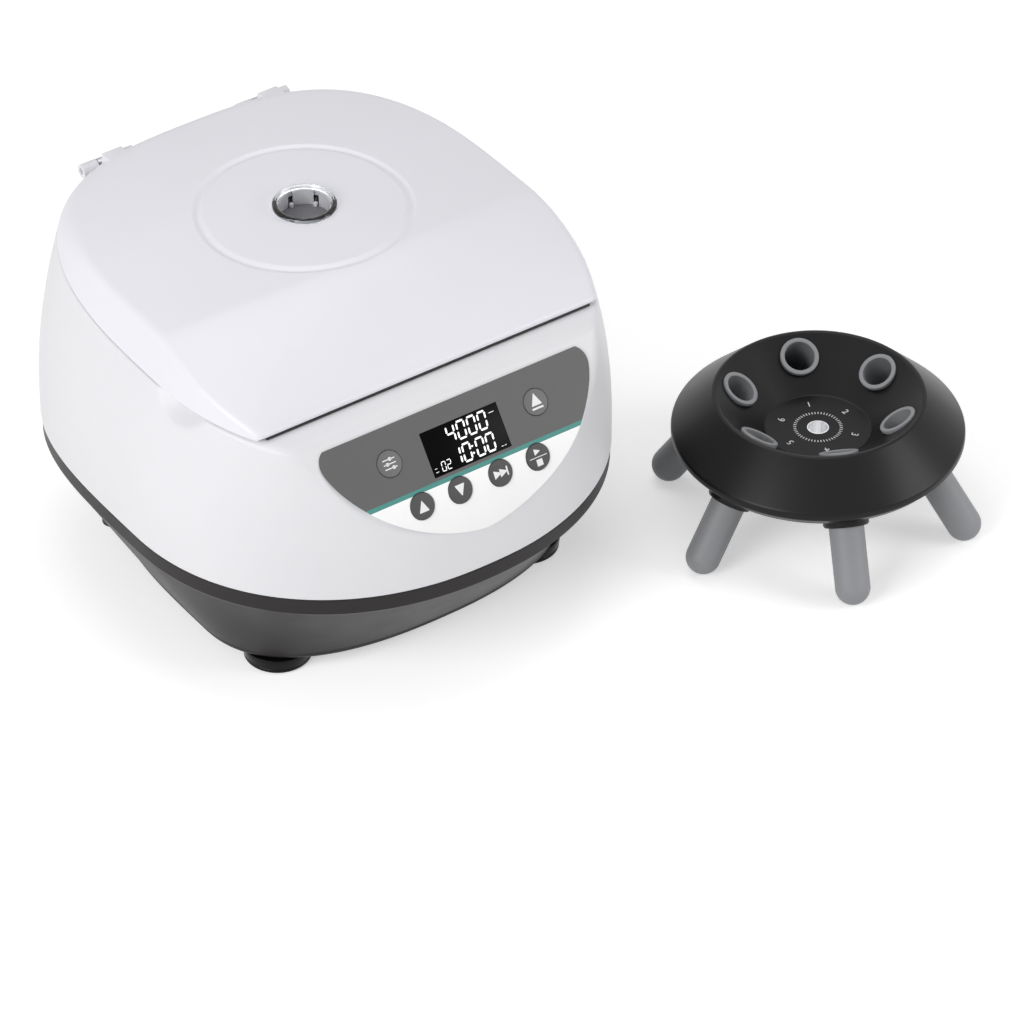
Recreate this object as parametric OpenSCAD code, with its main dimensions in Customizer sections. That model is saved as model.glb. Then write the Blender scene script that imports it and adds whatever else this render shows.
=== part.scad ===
// Benchtop tube centrifuge with a hinged lid, and its six-place angle rotor standing beside it.
// Millimetres, Z up. The origin is on the bench, under the spindle.
// X is to the right and Y to the rear of the machine.

/* [Body] */
// Full width of the housing at its foot
body_w = 290; // [286:1:300]
// Distance from the spindle to the front of the housing
front_reach = 177.5; // [176:0.5:180]
// Distance from the spindle to the rear of the housing
rear_reach = 124; // [123:0.5:130]
// Height of the joint between the dark base and the light housing
seam_z = 80; // [79:0.5:81]
// Wall thickness of the mouldings
wall = 3; // [2.5:0.1:3.4]
// Height of the upright band round the top of the base
band_h = 10; // [6:0.5:14]
// Width of the base at its underside
base_w = 228; // [222:1:232]

/* [Feet] */
// Height of the rubber feet
foot_h = 10; // [9:0.5:11]
// Radius of the rubber feet
foot_r = 20; // [14:0.5:21]
// Distance of the feet from the middle plane
foot_x = 84; // [76:1:86]
// Place of the front feet
foot_front_y = -92; // [-96:1:-84]
// Place of the rear feet
foot_rear_y = 46; // [36:1:48]

/* [Lid] */
// Height of the lid's top over the bench
lid_top_z = 216.5; // [214:0.5:219]
// Place of the lid's straight front edge
lid_front_y = -122; // [-124:0.5:-120]
// Gap between the lid and the housing
lid_gap = 0.8; // [0.6:0.1:1]
// Radius of the sight glass
window_r = 18; // [16:0.5:20]
// Place of the hinge axis behind the spindle
hinge_y = 122.5; // [122:0.25:124]
// Distance of each hinge from the middle plane
hinge_x = 52; // [46:1:56]
// Radius of the hinge knuckles
knuckle_r = 4; // [3.5:0.25:4.5]
// Radius of the hinge pins
pin_r = 2; // [1.5:0.25:2.25]

/* [Panel] */
// Lean of the flat panel from the vertical
panel_tilt = 37; // [36:0.5:38]
// Place of the display's middle, front to rear
panel_y = -154.1; // [-155:0.1:-153]
// Height of the display's middle
panel_z = 150.8; // [150:0.1:152]
// Radius of the roll under the flat panel
roll_r = 64; // [60:1:68]
// Width of the display
display_w = 50.5; // [44:0.5:54]
// Height of the display
display_h = 25.7; // [22:0.1:26.5]
// Half width of the printed fascia
fascia_half = 87.5; // [84:0.5:88]
// Thickness of the printed fascia
fascia_t = 0.8; // [0.5:0.1:1]
// Radius of the round keys
key_r = 7.4; // [6:0.1:8]
// Travel of the round keys
key_travel = 0.5; // [0.3:0.1:0.6]
// How far the round keys stand out of the fascia
key_proud = 0.6; // [0.5:0.1:1]

/* [Chamber] */
// Inner radius of the rotor chamber
chamber_r = 103; // [102:0.25:104]
// Height of the chamber floor
chamber_floor_z = 86; // [85:0.5:87]
// Height of the chamber rim
rim_z = 170; // [169:0.5:171]
// Thickness of the pressed steel bowl
bowl_t = 1.2; // [0.8:0.1:1.4]

/* [Drive] */
// Outer radius of the motor
motor_r = 45; // [40:0.5:47]
// Radius of the motor shaft
shaft_r = 4; // [3:0.5:4.5]
// Height of the seat that carries the rotor
seat_z = 140; // [139.5:0.25:141]
// Radius of the spigot that centres the rotor
spigot_r = 5.5; // [5:0.1:6]
// Radius of the threaded stud
stud_r = 3; // [2.5:0.25:4]
// Radius of the rotor nut
nut_r = 10; // [8:0.5:12]

/* [Rotor] */
// Place of the standing rotor, to the right of the spindle
rotor_x = 240; // [236:1:260]
// Place of the standing rotor, front to rear
rotor_y = -158.5; // [-170:0.5:-150]
// Largest radius of the dish
dish_r = 83.5; // [82:0.5:85]
// Height of the dish's crest above its floor
crest_h = 24; // [22:0.5:24.5]
// Radius of the crest
crest_r = 59; // [58:0.5:60]
// Radius of the dish's floor
floor_r = 30; // [28:0.5:31]
// Thickness of the dish's floor
floor_t = 8; // [7:0.25:9]
// Lean of the sleeves from the vertical
sleeve_tilt = 33; // [32:0.5:34]
// Radius at which the sleeve mouths stand
mouth_r = 45.7; // [45:0.1:46.5]
// Height of the sleeve mouths above the dish's floor
mouth_h = 17; // [16.5:0.25:18.5]
// Outer radius of a sleeve
sleeve_r = 10; // [9.5:0.1:10.5]
// Inner radius of a sleeve
sleeve_bore_r = 8.65; // [8:0.05:8.9]
// Length of a sleeve from mouth to tip
sleeve_l = 87; // [84:0.5:88]

/* [Hidden] */

$fn = 64;
eps = 0.01;

// Colours as the object shows them
white = [0.90, 0.90, 0.91];
dark_grey = [0.24, 0.22, 0.23];
rubber_black = [0.06, 0.06, 0.06];
panel_grey = [0.39, 0.39, 0.39];
satin_black = [0.13, 0.13, 0.13];
sleeve_grey = [0.57, 0.57, 0.58];
steel = [0.68, 0.69, 0.70];
zinc = [0.55, 0.56, 0.58];
board_green = [0.10, 0.35, 0.20];
clear = [0.80, 0.88, 0.90, 0.35];

// Plan outline of the housing: an ellipse-like curve, fuller at the rear
plan_y = -45;
plan_steps = 60;
front_n = 2.15;
rear_n = 3.5;
bulge_z = seam_z + 15;
side_taper = 0.0019;
rear_taper = 0.0003;
body_top_z = 205;
body_step = 15;

// Underside outline of the base
foot_plan_y = -62.3;
base_front = 68.8;
base_rear = 146;
base_front_n = 2.4;
base_rear_n = 3.4;
base_edge = 4;
band_step = 1;

function plan_radius(t, half, front, rear, nf, nr) =
    let (n = sin(t) < 0 ? nf : nr, reach = sin(t) < 0 ? front : rear)
    pow(pow(abs(cos(t)) / half, n) + pow(abs(sin(t)) / reach, n), -1 / n);

function taper(z) = z > bulge_z ? pow(z - bulge_z, 2) : 0;

function body_radius(t, z, inset) = plan_radius(t,
    body_w / 2 - side_taper * taper(z) - inset, front_reach + plan_y - inset,
    rear_reach - plan_y - rear_taper * taper(z) - inset, front_n, rear_n);

function body_point(t, z, inset) = let (r = body_radius(t, z, inset))
    [r * cos(t), plan_y + r * sin(t), z];

function body_ring(z, inset) =
    [for (i = [0 : plan_steps - 1]) body_point(i * 360 / plan_steps, z, inset)];

function foot_ring(z, inset, share) = [for (i = [0 : plan_steps - 1])
    let (t = i * 360 / plan_steps,
        top = body_point(t, z, inset + band_step),
        r = plan_radius(t, base_w / 2 - inset, base_front - inset, base_rear - inset,
            base_front_n, base_rear_n))
    [top[0] + (r * cos(t) - top[0]) * share,
        top[1] + (foot_plan_y + r * sin(t) - top[1]) * share, z]];

// Solid through a stack of rings with the same number of points, lowest first
module loft(rings) {
    n = len(rings[0]);
    last = len(rings) - 1;
    sides = [for (k = [0 : last - 1], i = [0 : n - 1], half = [0, 1])
        let (a = k * n + i, b = k * n + (i + 1) % n)
        half == 0 ? [a, a + n, b] : [b, a + n, b + n]];
    floor_face = [for (i = [0 : n - 1]) i];
    top_face = [for (i = [n - 1 : -1 : 0]) last * n + i];
    polyhedron(points = [for (ring = rings) each ring],
        faces = concat([floor_face], [top_face], sides), convexity = 6);
}

// Line on which the lid meets the housing, seen from the side: place and height
front_line_z = 176.6;
parting = [[-200, 173.4], [lid_front_y, front_line_z], [-95, 178.8], [-60, 181], [-25, 181.4],
    [5, 182.2], [30, 184], [55, 186.4], [80, 190], [105, 193.8], [140, 196]];
function parting_z(y) = lookup(y, parting);

// Panel: a flat part, then a roll that turns down into the front
panel_up = [sin(panel_tilt), cos(panel_tilt)];
panel_out = [-cos(panel_tilt), sin(panel_tilt)];
flat_below = display_h / 2 + 3.2;
shelf_slope = 0.14;
roll_end = 6;
roll_steps = 7;
roll_start = [panel_y, panel_z] - flat_below * panel_up;
roll_centre = roll_start - roll_r * panel_out;
function roll_point(lean, rise) = roll_centre + (roll_r + rise) * [-cos(lean), sin(lean)];

// Side view of the housing, drawn outwards by rise
function shelf_end(rise) =
    let (p = [panel_y, panel_z] + rise * panel_out,
        shelf_z = parting_z(lid_front_y) + rise + shelf_slope * (p[0] - lid_front_y),
        v = (shelf_z - p[1]) / (panel_up[1] - shelf_slope * panel_up[0]))
    p + v * panel_up;

function side_outline(rise) = concat(
    [[140, seam_z - 40]],
    [for (k = [len(parting) - 1 : -1 : 1]) [parting[k][0], parting[k][1] + rise]],
    [shelf_end(rise)],
    [for (k = [0 : roll_steps])
        roll_point(panel_tilt + (roll_end - panel_tilt) * k / roll_steps, rise)],
    [let (p = roll_point(roll_end, rise)) p - 70 * [sin(roll_end), cos(roll_end)]]);

module across(outline, width) {
    rotate([90, 0, 90])
        linear_extrude(height = width, center = true) polygon(outline);
}

module on_panel() {
    translate([0, panel_y, panel_z]) rotate([90 - panel_tilt, 0, 0]) children();
}

// Key row on the roll under the display
key_row_lean = 30;
key_row = roll_point(key_row_lean, 0);
module on_roll() {
    translate([0, key_row[0], key_row[1]]) rotate([90 - key_row_lean, 0, 0]) children();
}

key_clear = 0.3;
upper_key_x = 48;
upper_key_v = 4.2;
row_outer_x = 38;
row_inner_x = 13.2;
board_drop = 10;
board_t = 1.6;
tact_w = 6;
tact_h = 3.5;
key_skirt = 1.2;
stem_r = 2;

// Chamber opening in the deck
collar_r = 105;
collar_wall = 3;
bowl_flange = 6;
gasket_t = 1.5;
collar_foot_z = rim_z + bowl_t + gasket_t;

// Latch under the front of the lid
hook_y = -112;
hook_t = 3;
hook_w = 14;
hook_foot_z = 184;
hook_plate_t = 2.5;
hook_plate_d = 9;
bolt_z = 158;
bolt_r = 3;
bolt_throw = 5;
bolt_clear = 0.6;
lock_x = 12;
lock_w = 30;
lock_d = 14;
lock_h = 16;
slot_front = 6.5;
slot_rear = 3;
switch_w = 20;
switch_d = 6;
switch_h = 10;

// Hinges
hinge_z = 197.5;
knuckle_w = 10;
arm_w = 13;
arm_t = 4;
arm_reach = 24;
bracket_t = 2.5;
bracket_h = 20;
pad_face_y = hinge_y - knuckle_r;
pin_clear = 0.05;
hinge_w = arm_w + 2 * knuckle_w + 1;
pad_t = 8;
plate_foot_z = hinge_z - bracket_h - 4;
hinge_screw_z = hinge_z - 16;
hinge_screw_x = 9;
thread_r = 1.55;
screw_l = 6;
arm_screw_run = [5, 12];

// Rear connections
socket_z = 106;
recess_y = rear_reach - 3.5;
plate_t = 1.7;
plate_w = 126;
plate_h = 36;
pad_d = 5.5;
inlet_x = 27 - plate_w / 2;
inlet_w = 27.4;
inlet_h = 19.6;
inlet_d = 16;
rocker_x = plate_w / 2 - 23;
fuse_x = rocker_x - 31;
rocker_w = 19.2;
rocker_h = 13;
rocker_d = 13;
rocker_lean = 8;
fuse_r = 6;
inlet_face = recess_y + plate_t;
inlet_lip = 2;
inlet_screw_x = 20;
inlet_screw_l = 5;

// Motor and its suspension
post_xy = 44;
post_r = 8;
motor_plate_z = 70;
motor_plate_t = 3;
isolator_h = 10;
can_floor_z = 20;
can_wall = 4;
end_wall = 8;
bearing_r = 11;
bearing_w = 7;
bowl_post_x = 74;
bowl_post_y = 38;
bowl_post_r = 5;
base_floor_z = foot_h + wall;
supply_y = -95;
supply_w = 124;
supply_d = 46;
supply_z = base_floor_z + 6;
screw_r = 2;
column_x = 102;
column_ys = [-62, 50];
column_r = 6.5;
well_r = 4.8;
vent_w = 4;
vent_l = 60;
vent_pitch = 9;
well_top = seam_z - 8;
boss_top = seam_z + 16;

band_z = seam_z - band_h;
low_z = foot_h + base_edge;

module base_body() {
    loft([foot_ring(foot_h, base_edge, 1), foot_ring(low_z, 0, 1), foot_ring(band_z, 0, 0),
        body_ring(seam_z, band_step / 2)]);
}

module base_tub() color(dark_grey) {
    difference() {
        base_body();
        difference() {
            loft([foot_ring(base_floor_z, wall + base_edge, 1), foot_ring(low_z + wall, wall, 1),
                foot_ring(band_z, wall, 0), body_ring(seam_z + 1, wall + band_step / 2)]);
            for (x = [-post_xy, post_xy], y = [-post_xy, post_xy])
                translate([x, y, foot_h + 1])
                    cylinder(r = post_r, h = motor_plate_z - isolator_h - foot_h - 1);
            for (x = [-1, 1], y = [-1, 1])
                translate([x * (supply_w / 2 - 5), supply_y + y * (supply_d / 2 - 5), foot_h + 1])
                    cylinder(r = 3, h = supply_z - foot_h - 1);
            for (x = [-column_x, column_x], y = column_ys)
                translate([x, y, foot_h + 1]) cylinder(r = column_r, h = seam_z);
        }
        for (x = [-column_x, column_x], y = column_ys) translate([x, y, 0]) {
            cylinder(r = well_r, h = well_top);
            cylinder(r = screw_r + pin_clear, h = seam_z + 1);
        }
        for (x = [-foot_x, foot_x], y = [foot_front_y, foot_rear_y])
            translate([x, y, foot_h - 1]) cylinder(r = screw_r + pin_clear, h = wall + 2);
        for (k = [-4 : 4])
            translate([k * vent_pitch - vent_w / 2, -vent_l / 2, foot_h - 1])
                cube([vent_w, vent_l, wall + 2]);
    }
}

module base_feet() color(rubber_black) {
    for (x = [-foot_x, foot_x], y = [foot_front_y, foot_rear_y]) translate([x, y, 0])
        rotate_extrude() polygon([[5, 0], [foot_r - 2.5, 0], [foot_r - 0.8, 1.5],
            [foot_r, foot_h - 2], [foot_r, foot_h], [screw_r + 0.2, foot_h],
            [screw_r + 0.2, 4], [5, 4]]);
}

module foot_screws() color(zinc) {
    for (x = [-foot_x, foot_x], y = [foot_front_y, foot_rear_y]) translate([x, y, 1.5]) {
        cylinder(r = 4.4, h = 2.5);
        cylinder(r = screw_r, h = foot_h + wall);
    }
}

// Finger scoops under the lid's edge
scoop_y = -76;
scoop_r = 36;
scoop_rise = 17.5;
scoop_out = 24;

function side_x(y, z) =
    let (n = y < plan_y ? front_n : rear_n,
        reach = y < plan_y ? front_reach + plan_y : rear_reach - plan_y)
    (body_w / 2 - side_taper * taper(z))
        * pow(1 - pow(abs(y - plan_y) / reach, n), 1 / n);

module scoops(grow) {
    z = parting_z(scoop_y);
    for (s = [-1, 1]) translate([s * (side_x(scoop_y, z) + scoop_out), scoop_y, z + scoop_rise])
        sphere(r = scoop_r + grow);
}

module upper_housing() color(white) {
    levels = [seam_z : body_step : body_top_z];
    difference() {
        union() {
            difference() {
                intersection() {
                    loft([for (z = levels) body_ring(z, 0)]);
                    across(side_outline(0), body_w + 20);
                }
                difference() {
                    intersection() {
                        loft([for (z = levels) body_ring(z == seam_z ? z - eps : z, wall)]);
                        across(side_outline(-wall), body_w + 20);
                    }
                    scoops(wall);
                    for (x = [-1, 1], y = column_ys) translate([x * column_x, y, 0]) {
                        cylinder(r = column_r, h = boss_top);
                        translate([min(0, x * 60), -2, 0]) cube([60, 4, boss_top]);
                    }
                }
            }
            intersection() {
                union() {
                    translate([0, 0, collar_foot_z])
                        cylinder(r = collar_r + collar_wall, h = 40, $fn = 96);
                    translate([lock_x, hook_y - lock_d / 2, bolt_z + lock_h / 2])
                        cube([lock_w, 6, 30]);
                    translate([-lock_x - switch_w, hook_y - lock_d / 2, bolt_z + switch_h / 2])
                        cube([switch_w, switch_d, 30]);
                }
                across(side_outline(-wall / 2), body_w);
            }
            for (s = [-1, 1])
                translate([s * hinge_x - hinge_w / 2 - 1, pad_face_y - pad_t, plate_foot_z - 1])
                    cube([hinge_w + 2, pad_t, bracket_h]);
            translate([-plate_w / 2 - 3, recess_y - pad_d, socket_z - plate_h / 2 - 3])
                cube([plate_w + 6, pad_d, plate_h + 6]);
        }
        translate([0, 0, rim_z]) cylinder(r = collar_r, h = 60, $fn = 96);
        translate([-hook_w / 2 - 2, hook_y - slot_front, rim_z])
            cube([hook_w + 4, slot_front + slot_rear, 30]);
        translate([-plate_w / 2 - 0.2, recess_y, socket_z - plate_h / 2 - 0.2])
            cube([plate_w + 0.4, 20, plate_h + 0.4]);
        translate([inlet_x - inlet_w / 2 - 0.3, 90, socket_z - inlet_h / 2 - 0.3])
            cube([inlet_w + 0.6, 50, inlet_h + 0.6]);
        translate([rocker_x - rocker_w / 2 - 0.3, 90, socket_z - rocker_h / 2 - 0.3])
            cube([rocker_w + 0.6, 50, rocker_h + 0.6]);
        translate([fuse_x, 90, socket_z]) rotate([-90, 0, 0]) cylinder(r = fuse_r + 0.2, h = 50);
        scoops(0);
        for (x = [-column_x, column_x], y = column_ys)
            translate([x, y, seam_z - 1]) cylinder(r = screw_r, h = boss_top - seam_z - 1);
        for (s = [-1, 1]) {
            translate([s * hinge_x - hinge_w / 2 - 0.3, pad_face_y, plate_foot_z - 0.3])
                cube([hinge_w + 0.6, 20, 60]);
            for (k = [-1, 1])
                translate([s * hinge_x + k * hinge_screw_x, pad_face_y - screw_l, hinge_screw_z])
                    rotate([-90, 0, 0]) cylinder(r = thread_r, h = 20);
            translate([inlet_x + s * inlet_screw_x, inlet_face - inlet_screw_l, socket_z])
                rotate([-90, 0, 0]) cylinder(r = thread_r, h = 20);
        }
        on_panel() translate([-display_w / 2 - 0.5, -display_h / 2 - 0.5, -10])
            cube([display_w + 1, display_h + 1, 20]);
        on_panel() for (s = [-1, 1])
            translate([s * upper_key_x, upper_key_v, -10]) cylinder(r = key_r + key_clear, h = 20);
        on_roll() for (x = [-row_outer_x, -row_inner_x, row_inner_x, row_outer_x])
            translate([x, 0, -10]) cylinder(r = key_r + key_clear, h = 20);
    }
}

module rear_plate() color(dark_grey) {
    difference() {
        translate([-plate_w / 2, recess_y, socket_z - plate_h / 2])
            cube([plate_w, plate_t, plate_h]);
        translate([inlet_x - inlet_w / 2 - 0.3, recess_y - 1, socket_z - inlet_h / 2 - 0.3])
            cube([inlet_w + 0.6, 5, inlet_h + 0.6]);
        translate([rocker_x - rocker_w / 2 - 0.3, recess_y - 1, socket_z - rocker_h / 2 - 0.3])
            cube([rocker_w + 0.6, 5, rocker_h + 0.6]);
        translate([fuse_x, recess_y - 1, socket_z])
            rotate([-90, 0, 0]) cylinder(r = fuse_r + 0.2, h = 5);
        for (s = [-1, 1]) translate([inlet_x + s * inlet_screw_x, recess_y - 1, socket_z])
            rotate([-90, 0, 0]) cylinder(r = thread_r + 0.1, h = 5);
    }
}

socket_depth = 13;
socket_w = 24;
socket_h = 16;
pin_w = 2;
pin_h = 5;
pin_l = 11;
pin_span = 14;
flange_w = 48;
flange_h = 24;

module power_inlet() color(satin_black) {
    difference() {
        union() {
            translate([inlet_x - inlet_w / 2, inlet_face - inlet_d, socket_z - inlet_h / 2])
                cube([inlet_w, inlet_d, inlet_h]);
            translate([inlet_x - flange_w / 2, inlet_face, socket_z - flange_h / 2])
                cube([flange_w, inlet_lip, flange_h]);
        }
        translate([inlet_x - socket_w / 2, inlet_face + inlet_lip - socket_depth,
            socket_z - socket_h / 2]) cube([socket_w, socket_depth + 1, socket_h]);
        for (s = [-1, 1]) translate([inlet_x + s * inlet_screw_x, inlet_face - 1, socket_z])
            rotate([-90, 0, 0]) cylinder(r = thread_r + 0.1, h = 5);
    }
}

module inlet_pins() color(steel) {
    foot_y = inlet_face + inlet_lip - socket_depth;
    for (p = [[-pin_span / 2, -2], [pin_span / 2, -2], [0, 3]])
        translate([inlet_x + p[0] - pin_w / 2, foot_y, socket_z + p[1] - pin_h / 2])
            cube([pin_w, pin_l, pin_h]);
}

rocker_pivot_y = inlet_face - 2.5;
rocker_half = 8.4;

module switch_frame() color(satin_black) {
    difference() {
        union() {
            translate([rocker_x - rocker_w / 2, inlet_face - rocker_d, socket_z - rocker_h / 2])
                cube([rocker_w, rocker_d, rocker_h]);
            translate([rocker_x - 10.5, inlet_face, socket_z - 7.5]) cube([21, 1.5, 15]);
        }
        translate([rocker_x - 9.2, inlet_face - 9, socket_z - 5.8]) cube([18.4, 20, 11.6]);
    }
    for (s = [-1, 1]) translate([rocker_x, rocker_pivot_y, socket_z + s * 5.3])
        cylinder(r = 1.2, h = 1, center = true);
}

module rocker_switch() color(rubber_black) {
    translate([rocker_x, rocker_pivot_y, socket_z]) rotate([0, 0, -rocker_lean])
        difference() {
            translate([0, 0, -5.4]) linear_extrude(height = 10.8)
                polygon([[-rocker_half, 4.4], [0, 2.9], [rocker_half, 4.4], [7, -3.4], [-7, -3.4]]);
            cylinder(r = 1.25, h = 12, center = true);
        }
}

module fuse_holder() color(satin_black) {
    translate([fuse_x, inlet_face, socket_z]) rotate([-90, 0, 0]) {
        translate([0, 0, -13]) cylinder(r = fuse_r, h = 13);
        cylinder(r = fuse_r + 1.5, h = 2.5);
        translate([-5, -0.8, 2.5 - eps]) cube([10, 1.6, 1]);
    }
}

bowl_corner = 12;
boot_hole = 14;

module chamber_bowl() color(steel) {
    arc = [for (k = [0 : 8]) let (a = -90 + k * 90 / 8)
        [chamber_r - bowl_corner + bowl_corner * cos(a),
            chamber_floor_z + bowl_corner + bowl_corner * sin(a)]];
    outer = [for (k = [8 : -1 : 0]) let (a = -90 + k * 90 / 8)
        [chamber_r - bowl_corner + (bowl_corner + bowl_t) * cos(a),
            chamber_floor_z + bowl_corner + (bowl_corner + bowl_t) * sin(a)]];
    rotate_extrude($fn = 96) polygon(concat(
        [[boot_hole, chamber_floor_z]], arc,
        [[chamber_r, rim_z + bowl_t], [chamber_r + bowl_flange, rim_z + bowl_t],
            [chamber_r + bowl_flange, rim_z], [chamber_r + bowl_t, rim_z]],
        outer, [[boot_hole, chamber_floor_z - bowl_t]]));
}

module chamber_gasket() color(rubber_black) {
    translate([0, 0, rim_z + bowl_t]) difference() {
        cylinder(r = collar_r + collar_wall, h = gasket_t, $fn = 96);
        translate([0, 0, -1]) cylinder(r = chamber_r + 0.8, h = gasket_t + 2, $fn = 96);
    }
}

module bowl_posts() color(zinc) {
    for (x = [-bowl_post_x, bowl_post_x], y = [-bowl_post_y, bowl_post_y])
        translate([x, y, base_floor_z])
            cylinder(r = bowl_post_r, h = chamber_floor_z - bowl_t - base_floor_z);
}

module motor_plate() color(zinc) {
    difference() {
        translate([0, 0, motor_plate_z])
            cylinder(r = post_xy * sqrt(2) + post_r + 2, h = motor_plate_t);
        translate([0, 0, motor_plate_z - 1]) cylinder(r = bearing_r, h = motor_plate_t + 2);
        for (x = [-post_xy, post_xy], y = [-post_xy, post_xy])
            translate([x, y, motor_plate_z - 1])
                cylinder(r = 4, h = motor_plate_t + 2);
    }
}

module motor_isolators() color(rubber_black) {
    for (x = [-post_xy, post_xy], y = [-post_xy, post_xy])
        translate([x, y, motor_plate_z - isolator_h]) {
            cylinder(r = post_r - 1, h = isolator_h);
            translate([0, 0, isolator_h - eps])
                cylinder(r = 3.9, h = motor_plate_t + 1);
        }
}

module motor_can() color(zinc) {
    difference() {
        translate([0, 0, can_floor_z]) cylinder(r = motor_r, h = motor_plate_z - can_floor_z);
        translate([0, 0, can_floor_z + end_wall])
            cylinder(r = motor_r - can_wall, h = motor_plate_z - can_floor_z - 2 * end_wall);
        translate([0, 0, can_floor_z - 1]) cylinder(r = bearing_r, h = bearing_w + 1);
        translate([0, 0, can_floor_z - 1]) cylinder(r = shaft_r + 1.5, h = 60);
        translate([0, 0, motor_plate_z - bearing_w]) cylinder(r = bearing_r, h = bearing_w + 1);
    }
}

module shaft_bearings() color(steel) {
    for (z = [can_floor_z, motor_plate_z - bearing_w]) translate([0, 0, z]) difference() {
        cylinder(r = bearing_r, h = bearing_w);
        translate([0, 0, -1]) cylinder(r = shaft_r + pin_clear, h = bearing_w + 2);
    }
}

module shaft_boot() color(rubber_black) {
    rotate_extrude() polygon([[shaft_r + 1.5, chamber_floor_z], [boot_hole + 8, chamber_floor_z],
        [boot_hole + 8, chamber_floor_z + 1.5], [boot_hole, chamber_floor_z + 3],
        [shaft_r + 4, chamber_floor_z + 12], [shaft_r + 1.5, chamber_floor_z + 12]]);
}

// Front view of the fascia: straight top, rounded shoulders and a shield-shaped lower edge
fascia_top_z = 170.6;
fascia_wide_z = 163;
fascia_low_z = 110.5;
fascia_n = 1.5;
fascia_steps = 14;
shoulder = 7;
shoulder_mid = 3;
shoulder_low = 0.8;
function fascia_x(z) = let (d = (fascia_wide_z - z) / (fascia_wide_z - fascia_low_z))
    fascia_half * pow(1 - pow(d, fascia_n), 1 / fascia_n);
function fascia_side(s) = concat(
    [[s * (fascia_half - shoulder), fascia_top_z],
        [s * (fascia_half - shoulder_mid), fascia_top_z - shoulder_low],
        [s * (fascia_half - shoulder_low), fascia_top_z - shoulder_mid - shoulder_low / 4]],
    [for (k = [0 : fascia_steps - 1])
        let (z = fascia_wide_z - (fascia_wide_z - fascia_low_z) * sin(90 * k / fascia_steps))
        [s * fascia_x(z), z]]);

module control_fascia() color(panel_grey) {
    right = fascia_side(1);
    left = fascia_side(-1);
    outline = concat(right, [[0, fascia_low_z]],
        [for (k = [len(left) - 1 : -1 : 0]) left[k]]);
    difference() {
        intersection() {
            across(side_outline(fascia_t), body_w);
            translate([0, -100, 0]) rotate([90, 0, 0])
                linear_extrude(height = 100) polygon(outline);
        }
        across(side_outline(0), body_w + 2);
        on_panel() translate([-display_w / 2, -display_h / 2, -10])
            cube([display_w, display_h, 20]);
        on_panel() for (s = [-1, 1])
            translate([s * upper_key_x, upper_key_v, -10]) cylinder(r = key_r + key_clear, h = 20);
        on_roll() for (x = [-row_outer_x, -row_inner_x, row_inner_x, row_outer_x])
            translate([x, 0, -10]) cylinder(r = key_r + key_clear, h = 20);
    }
}

lens_t = 1.5;
module display_lens() color([0.02, 0.02, 0.02]) {
    on_panel() translate([-display_w / 2 + 0.1, -display_h / 2 + 0.1, fascia_t - lens_t])
        cube([display_w - 0.2, display_h - 0.2, lens_t]);
}

module display_module() color(satin_black) {
    on_panel() translate([-display_w / 2 + 0.1, -display_h / 2 + 0.1, -board_drop])
        cube([display_w - 0.2, display_h - 0.2, board_drop + fascia_t - lens_t]);
}

ctrl_w = 124;
ctrl_h = 33;
ctrl_low = display_h / 2;
ctrl_post_x = ctrl_w / 2 - 4;
ctrl_post_v = 17;
post_pin_r = 2.5;
module control_board() color(board_green) {
    on_panel() {
        translate([-ctrl_w / 2, -ctrl_low, -board_drop - board_t]) cube([ctrl_w, ctrl_h, board_t]);
        for (s = [-1, 1]) {
            translate([s * upper_key_x - tact_w / 2, upper_key_v - tact_w / 2,
                -board_drop - eps]) cube([tact_w, tact_w, tact_h + eps]);
            translate([s * ctrl_post_x, ctrl_post_v, -board_drop - eps])
                cylinder(r = post_pin_r, h = board_drop - wall);
        }
    }
}

key_board_w = 100;
key_board_h = 14;
key_post_x = (row_outer_x + row_inner_x) / 2;
module key_board() color(board_green) {
    on_roll() {
        translate([-key_board_w / 2, -key_board_h / 2, -board_drop - board_t])
            cube([key_board_w, key_board_h, board_t]);
        for (x = [-row_outer_x, -row_inner_x, row_inner_x, row_outer_x])
            translate([x - tact_w / 2, -tact_w / 2, -board_drop - eps])
                cube([tact_w, tact_w, tact_h + eps]);
        for (x = [-key_post_x, 0, key_post_x])
            translate([x, 0, -board_drop - eps])
                cylinder(r = post_pin_r, h = board_drop - wall - 0.3);
    }
}

// A round key: cap, skirt inside the wall, and a stem down to its switch
module round_key() {
    stem_foot = -board_drop + tact_h + key_travel + 0.1;
    translate([0, 0, -key_skirt]) cylinder(r = key_r, h = key_skirt + fascia_t + key_proud);
    translate([0, 0, stem_foot]) cylinder(r = stem_r, h = -key_skirt - stem_foot + eps);
}

module key_set() color(panel_grey) { on_panel() translate([-upper_key_x, upper_key_v, 0]) round_key(); }
module key_open() color(panel_grey) { on_panel() translate([upper_key_x, upper_key_v, 0]) round_key(); }
module key_up() color(panel_grey) { on_roll() translate([-row_outer_x, 0, 0]) round_key(); }
module key_down() color(panel_grey) { on_roll() translate([-row_inner_x, 0, 0]) round_key(); }
module key_pulse() color(panel_grey) { on_roll() translate([row_inner_x, 0, 0]) round_key(); }
module key_start() color(panel_grey) { on_roll() translate([row_outer_x, 0, 0]) round_key(); }

module power_board() color(board_green) {
    translate([-supply_w / 2, supply_y - supply_d / 2, supply_z])
        cube([supply_w, supply_d, board_t]);
}

coil_w = 34;
coil_d = 32;
coil_h = 28;
coil_x = -52;
can_r = 8;
can_h = 24;
can_pitch = 18;
can_x = -4;
sink_x = 28;
sink_w = 26.5;
sink_d = 36;
sink_h = 22;
sink_foot_t = 3;
fin_t = 1.5;
fin_pitch = 5;

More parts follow.
